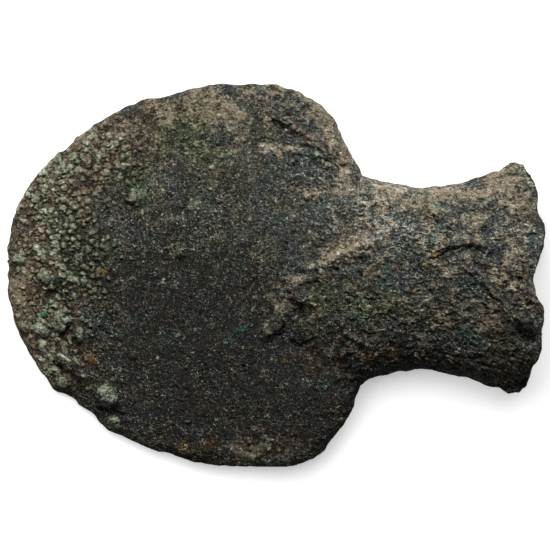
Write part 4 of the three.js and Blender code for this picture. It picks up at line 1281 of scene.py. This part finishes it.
@dataclass
class Crust:
    """The corrosion skin of the upper face: closed slabs, end to end, finer than the casting under them."""

    form: AxeForm
    corrosion: Corrosion
    overlap: Overlap
    names: tuple[str, ...] = ("crust_edge", "crust_blade", "crust_root", "crust_neck")
    rows: int = 174
    columns: int = 480
    coarse: int = 6  # top cells to each cell of the underside
    station_mix: tuple[float, float] = (0.6, 0.4)  # shares of even rows, and of rows even along the outline
    column_mix: tuple[float, float] = (0.8, 0.2)  # shares of even columns and of ones crowded outwards
    under_map: float = 0.05  # the underside's share of the piece's own map
    under_gap: float = 0.005  # the gap below the walls' strip of the map
    wall_map: float = 0.004  # the strip's own share
    top_gap: float = 0.01  # from the strip's foot to the top's share
    under_layer: float = 0.3  # what every layer says on the underside

    def slab(self, top: Array, under: Array, layers: dict[str, Array]) -> Shell:
        """One closed slab: the fine top, a coarse underside, and walls of one face to each coarse cell."""
        (rows, columns), k = top.shape[:2], self.coarse
        quads, places = grid_faces(rows, columns, wrapped=False)
        low_rows, low_columns = under.shape[:2]
        low_quads, low_places = grid_faces(low_rows, low_columns, wrapped=False)
        top_loop, low_loop = self.border(rows, columns), self.border(low_rows, low_columns)
        spans = np.arange(len(low_loop))
        upper_edge = top_loop[(spans[:, None] * k + np.arange(k, -1, -1)) % len(top_loop)]
        lower_edge = rows * columns + low_loop[np.stack([spans, (spans + 1) % len(spans)], -1)]
        walls = np.concatenate([upper_edge, lower_edge], 1)
        run = np.concatenate([spans[:, None] + np.arange(k, -1, -1) / k, spans[:, None] + [[0, 1]]], 1)
        rise = np.array([1.0] * (k + 1) + [0.0, 0.0]) * self.wall_map + self.under_map
        wall_places = np.stack([run / len(spans), np.broadcast_to(rise, run.shape)], -1)
        share = 1 - self.under_map - self.top_gap
        low_share = self.under_map - self.under_gap
        hidden = np.full(low_rows * low_columns, self.under_layer)
        return Shell(
            boxed(np.concatenate([top.reshape(-1, 3), under.reshape(-1, 3)])),
            [quads, rows * columns + low_quads[:, ::-1], walls],
            [places * [1, share] + [0, 1 - share], low_places[:, ::-1] * [1, low_share], wall_places],
            {layer: np.concatenate([v.ravel(), hidden]) for layer, v in layers.items()},
        )

    @staticmethod
    def border(rows: int, columns: int) -> Array:
        """Point numbers round a grid's border, with its faces on the left."""
        number = np.arange(rows * columns).reshape(rows, columns)
        return np.concatenate([number[0], number[1:, -1], number[-1, -2::-1], number[-2:0:-1, 0]])

    def build(self) -> list[bpy.types.Object]:
        """Works the whole upper face out on one grid, then cuts it into slabs that share their borders."""
        form, lap = self.form, self.overlap
        start, stop = form.edge_x + lap.margin, form.mouth_x - lap.margin
        count = len(self.names) * self.rows + 1
        even = np.linspace(start, stop, count)
        xs = (self.station_mix[0] * even + self.station_mix[1] * form.stations(start, stop, count))[:, None]
        t = np.linspace(1, -1, self.columns + 1)
        half = form.outline(xs)[1]
        q = (self.column_mix[0] * t + self.column_mix[1] * np.sin(np.pi * t / 2)) * (1 - lap.margin / half)
        clean = form.skin(xs, q, np.array(1.0))
        normal = normals_of(clean, wrapped=False)
        inset = lap.inset(form, xs, q)
        upper = np.ones(inset.size)
        border = smoothstep(inset, *lap.border).ravel()
        move, layers = self.corrosion.grow(clean.reshape(-1, 3), upper, border)
        risen = smoothstep(inset, lap.margin, lap.risen)
        move = lerp(-lap.dip, move.reshape(risen.shape), risen)
        top = clean + normal * move[..., None]
        under = clean - normal * lap.under
        made = []
        for n, name in enumerate(self.names):
            rows = slice(n * self.rows, (n + 1) * self.rows + 1)
            part = {layer: v.reshape(risen.shape)[rows] for layer, v in layers.items()}
            made.append(self.slab(top[rows], under[rows][:: self.coarse, :: self.coarse], part).make(name))
        return made


# ---- Finishes ------------------------------------------------------------------------------------


def linear(code: str) -> tuple[float, float, float, float]:
    """A hex colour as the linear values that a shader reads."""
    parts = [int(code[i : i + 2], 16) / 255 for i in (1, 3, 5)]
    return (*[c / 12.92 if c <= 0.04045 else ((c + 0.055) / 1.055) ** 2.4 for c in parts], 1.0)


def add_node(
    tree: bpy.types.NodeTree, kind: str, inputs: dict | None = None, stops: tuple[str, ...] = (), **settings
) -> bpy.types.Node:
    """Adds a node with its settings, and fills or links its inputs.

    Args:
        tree: The material's node tree.
        kind: The node's type, without the ShaderNode at its start.
        inputs: A value, another node's output, or a node whose first output is meant, by the input's
            name or number.
        stops: Hex colours for a colour ramp, spread evenly over it.
        settings: The node's own properties.

    Returns:
        The new node.
    """
    node = tree.nodes.new("ShaderNode" + kind)
    for key, value in settings.items():
        setattr(node, key, value)
    for n, code in enumerate(stops):
        elements = node.color_ramp.elements
        stop = elements.new(n / (len(stops) - 1)) if 0 < n < len(stops) - 1 else elements[-1 if n else 0]
        stop.color = linear(code)
    for key, value in (inputs or {}).items():
        if isinstance(value, bpy.types.Node):
            value = value.outputs[0]
        if isinstance(value, bpy.types.NodeSocket):
            tree.links.new(value, node.inputs[key])
        else:
            node.inputs[key].default_value = value
    return node


@dataclass(frozen=True)
class BuriedBronze:
    """Cast bronze after burial: a matt charcoal patina with earth and copper salts grown on it.

    Each layer is a ramp of colours from its hollows to its tips, and the tone that picks from it holds
    painted shade in hollows and painted highlights on tips; the mesh says where each layer lies. Fine threads
    of salt and soil are painted pale on the dark patina, as light caught on their crests, and dark where the
    surface is pale, as shade in cracks.
    """

    # Pitch in millimetres and detail; the real grain is finer, and this is as fine as shows.
    grain: tuple[float, float] = (0.45, 2.0)
    speck: tuple[float, float] = (0.28, 1.0)
    mottle: tuple[float, float] = (2.0, 3.0)
    fleck: tuple[float, float] = (0.62, 1.0)
    threads: tuple[float, ...] = (0.95, 0.6)
    thread_half: float = 0.045  # half width, as a share of the noise's range
    thread_bend: float = 1.6
    stretch: tuple[float, float, float] = (0.75, 1, 1)  # patterns run a little longer along the axe
    fleck_slant: float = -0.6
    fleck_length: float = 2.0
    fleck_span: tuple[float, float] = (0.56, 0.68)
    # how much darker the flecks are, as painted shade, and how deep
    fleck_depth: float = -0.5
    thread_tones: tuple[float, float] = (0.35, 0.75)  # threads turn from painted light to painted shade between these tones
    thread_gain: tuple[float, float] = (0.72, -0.5)
    weights: tuple[float, float, float] = (0.4, 0.7, 0.7)  # of mottle, speck and grain in a tone
    middle: float = -0.99  # brings the weighted patterns to about 0
    calm: tuple[float, float] = (-1.0, 1.4)  # how the smooth mask weakens the patterns, and their strength
    ragged: tuple[float, float] = (1.4, -1.2)  # how the grain frays a layer's edge, and where the edge lies
    layer_span: float = 0.58
    layer_gain: float = 1.3
    bump_weights: tuple[float, float] = (1.2, 0.4)  # of threads and speck in the height
    bump_mm: float = 0.16
    roughness: float = 0.82
    specular: float = 0.35
    cool: tuple[str, ...] = ("#040504", "#191c1b", "#3a3f3c", "#696f6a", "#b2b6aa")
    warm: tuple[str, ...] = ("#060503", "#201e16", "#454335", "#79705b", "#bdb096")
    layers: tuple[tuple[str, tuple[str, ...]], ...] = (
        ("clay", ("#0e0a06", "#33281b", "#5f4e3b", "#87755e", "#b4a58c")),
        ("olive", ("#070903", "#222716", "#494f34", "#757959", "#b0b294")),
        ("earth", ("#18150f", "#534b3c", "#857864", "#a69b86", "#cec4b2")),
        ("rust", ("#130c05", "#452f15", "#765027", "#9d7544", "#c4a474")),
        ("ochre", ("#171006", "#4c3a16", "#80642a", "#aa8b42", "#cdb470")),
        ("malachite", ("#04110e", "#12382f", "#2a6454", "#519180", "#9bcabb")),
        ("verdigris", ("#0c110c", "#3f4737", "#757e66", "#a4ad95", "#dde8dc")),
    )

    def build(self) -> bpy.types.Material:
        """Builds the material's nodes."""
        material = bpy.data.materials.new("buried_bronze")
        material.use_nodes = True
        tree = material.node_tree
        tree.nodes.clear()

        place = add_node(tree, "TexCoord").outputs["Object"]
        place = add_node(tree, "VectorMath", {0: place, 1: self.stretch}, operation="MULTIPLY")
        turn = {"Vector": place, "Rotation": (0, 0, self.fleck_slant), "Scale": (self.fleck_length, 1, 1)}
        turned = add_node(tree, "Mapping", turn, vector_type="TEXTURE")
        grain, speck, mottle, fleck = (
            add_node(tree, "TexNoise", {"Vector": vector, "Scale": 1 / (pitch * MM), "Detail": detail})
            for vector, (pitch, detail) in (
                (place, self.grain), (place, self.speck), (place, self.mottle), (turned, self.fleck)
            )
        )
        line: bpy.types.Node | float = 0.0
        for pitch in self.threads:
            wave = {"Vector": place, "Scale": 1 / (pitch * MM), "Detail": 0.0, "Distortion": self.thread_bend}
            apart = add_node(tree, "TexNoise", wave)
            apart = add_node(tree, "Math", {0: apart, 1: 0.5}, operation="SUBTRACT")
            apart = add_node(tree, "Math", {0: apart}, operation="ABSOLUTE")
            crest = {"Value": apart, "From Max": self.thread_half, "To Min": 1.0, "To Max": 0.0}
            crest = add_node(tree, "MapRange", crest)
            line = add_node(tree, "Math", {0: crest, 1: line}, operation="MAXIMUM")
        masks = {
            name: add_node(tree, "Attribute", attribute_name=name).outputs["Fac"]
            for name in ("tone", "smooth", "pitted", "warmth", *(name for name, _ in self.layers))
        }
        # Painted light and shade: the threads are made pale on dark tones and dark on pale ones.
        (pale, dark), (gain, loss) = self.thread_tones, self.thread_gain
        side = {"Value": masks["tone"], "From Min": pale, "From Max": dark, "To Min": gain, "To Max": loss}
        line = add_node(tree, "Math", {0: line, 1: add_node(tree, "MapRange", side)}, operation="MULTIPLY")
        # Painted shade: the flecks are darker hollows on the pitted neck, also sunk by the bump.
        low, high = self.fleck_span
        hollow = {"Value": fleck, "From Min": low, "From Max": high, "To Max": self.fleck_depth}
        fleck = add_node(tree, "MapRange", hollow)
        fleck = add_node(tree, "Math", {0: fleck, 1: masks["pitted"]}, operation="MULTIPLY")
        noisy: bpy.types.Node | float = self.middle
        for pattern, weight in zip((mottle, speck, grain), self.weights):
            noisy = add_node(tree, "Math", {0: pattern, 1: weight, 2: noisy}, operation="MULTIPLY_ADD")
        for pattern in (line, fleck):
            noisy = add_node(tree, "Math", {0: noisy, 1: pattern}, operation="ADD")
        calm = {0: masks["smooth"], 1: self.calm[0], 2: self.calm[1]}
        calm = add_node(tree, "Math", calm, operation="MULTIPLY_ADD")
        tone = add_node(tree, "Math", {0: noisy, 1: calm, 2: masks["tone"]}, operation="MULTIPLY_ADD")
        cool, warm = (
            add_node(tree, "ValToRGB", {0: tone}, stops=stops).outputs[0] for stops in (self.cool, self.warm)
        )
        colour = add_node(tree, "Mix", {0: masks["warmth"], 6: cool, 7: warm}, data_type="RGBA").outputs[2]
        ragged = add_node(tree, "Math", {0: mottle, 1: self.ragged[1]}, operation="ADD")
        ragged = add_node(tree, "Math", {0: grain, 1: self.ragged[0], 2: ragged}, operation="MULTIPLY_ADD")
        for name, colours in self.layers:
            edge = add_node(tree, "Math", {0: masks[name], 1: ragged}, operation="ADD")
            cover = add_node(tree, "MapRange", {"Value": edge, "From Max": self.layer_span})
            bound = add_node(tree, "Math", {0: cover, 1: masks[name]}, operation="MULTIPLY")
            share = {0: bound, 1: self.layer_gain}
            share = add_node(tree, "Math", share, operation="MULTIPLY", use_clamp=True)
            salts = add_node(tree, "ValToRGB", {0: tone}, stops=colours).outputs[0]
            colour = add_node(tree, "Mix", {0: share, 6: colour, 7: salts}, data_type="RGBA").outputs[2]
        threads, specks = self.bump_weights
        height = add_node(tree, "Math", {0: line, 1: threads, 2: grain}, operation="MULTIPLY_ADD")
        height = add_node(tree, "Math", {0: height, 1: fleck}, operation="ADD")
        height = add_node(tree, "Math", {0: speck, 1: specks, 2: height}, operation="MULTIPLY_ADD")
        height = add_node(tree, "Math", {0: height, 1: calm}, operation="MULTIPLY")
        bump = add_node(tree, "Bump", {"Height": height, "Strength": 1.0, "Distance": self.bump_mm * MM})
        shine = {"Roughness": self.roughness, "Specular IOR Level": self.specular}
        shader = add_node(tree, "BsdfPrincipled", {"Base Color": colour, "Normal": bump} | shine)
        add_node(tree, "OutputMaterial", {"Surface": shader})
        return material


# ---- Studio --------------------------------------------------------------------------------------


@dataclass
class Studio:
    """A white floor, soft light from the +Y side, and a camera straight above."""

    view_width: float = 110.385 * MM
    lens: float = 800.0
    sensor: float = 36.0
    floor_side: float = 40.0
    floor_white: float = 0.9
    floor_glow: float = 0.38
    key_at: tuple[float, float, float] = (-0.05, 0.80, 0.62)
    key_size: float = 0.55
    key_watts: float = 14.5
    table_at: tuple[float, float, float] = (-0.25, 0.7, 1.2)
    table_size: float = 1.8
    table_watts: float = 38.0
    fill: float = 0.15

    def floor(self) -> bpy.types.Object:
        """A wide white floor that glows a little, as a lit table does, so that shadows on it stay pale."""
        half = self.floor_side / 2
        mesh = bpy.data.meshes.new("floor")
        corners = [(-half, -half, 0), (half, -half, 0), (half, half, 0), (-half, half, 0)]
        mesh.from_pydata(corners, [], [(0, 1, 2, 3)])
        item = bpy.data.objects.new("floor", mesh)
        bpy.context.scene.collection.objects.link(item)
        paint = bpy.data.materials.new("white_table")
        paint.use_nodes = True
        shader = paint.node_tree.nodes["Principled BSDF"]
        paper = {
            "Base Color": (self.floor_white,) * 3 + (1,),
            "Roughness": 1.0,
            "Specular IOR Level": 0.0,
            "Emission Color": (1, 1, 1, 1),
            "Emission Strength": self.floor_glow,
        }
        for key, value in paper.items():
            shader.inputs[key].default_value = value
        mesh.materials.append(paint)
        item.visible_diffuse = False
        item.visible_glossy = False
        return item

    def lamp(self, name: str, at: tuple[float, float, float], size: float, watts: float) -> bpy.types.Object:
        """A square soft light that looks at the middle of the axe."""
        light = bpy.data.lights.new(name, "AREA")
        light.shape = "SQUARE"
        light.size = size
        light.energy = watts
        item = bpy.data.objects.new(name, light)
        item.location = at
        item.rotation_euler = (Vector((0, 0, 0.01)) - Vector(at)).to_track_quat("-Z", "Y").to_euler()
        bpy.context.scene.collection.objects.link(item)
        return item

    def aim(self, lamp: bpy.types.Object, item: bpy.types.Object, state: str) -> None:
        """Lets a lamp light one item alone, with INCLUDE, or all but that item, with EXCLUDE."""
        group = bpy.data.collections.new(lamp.name + "_on")
        group.objects.link(item)
        group.collection_objects[0].light_linking.link_state = state
        lamp.light_linking.receiver_collection = group

    def camera(self) -> bpy.types.Object:
        """A long lens straight above the axe, so that its outline keeps its true shape."""
        data = bpy.data.cameras.new("camera")
        data.lens = self.lens
        data.sensor_width = self.sensor
        data.clip_end = 100.0
        item = bpy.data.objects.new("camera", data)
        item.location = (0, 0, self.view_width * self.lens / self.sensor)
        bpy.context.scene.collection.objects.link(item)
        bpy.context.scene.camera = item
        return item

    def world(self) -> None:
        """Weak even light from all round."""
        world = bpy.data.worlds.new("world")
        world.use_nodes = True
        back = world.node_tree.nodes["Background"]
        back.inputs["Color"].default_value = (1, 1, 1, 1)
        back.inputs["Strength"].default_value = self.fill
        bpy.context.scene.world = world

    def build(self) -> None:
        """Sets up floor, lights, world and camera."""
        bpy.context.scene.view_settings.view_transform = "Standard"
        self.camera()
        floor = self.floor()
        self.world()
        self.aim(self.lamp("key", self.key_at, self.key_size, self.key_watts), floor, "EXCLUDE")
        self.aim(self.lamp("table", self.table_at, self.table_size, self.table_watts), floor, "INCLUDE")


def main() -> None:
    """Builds the studio, the casting, its crust and their finish, and reports each piece."""
    Studio().build()
    form, corrosion, overlap = AxeForm(), Corrosion(), Overlap()
    finish = BuriedBronze().build()
    casting = Casting(form, corrosion, overlap).build()
    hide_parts(NODE)
    for piece in (casting, *Crust(form, corrosion, overlap).build()):
        piece.data.materials.append(finish)
        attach(piece, BODY)
        LOG.info("%s: %d faces", piece.name, len(piece.data.polygons))


if __name__ == "__main__":
    main()
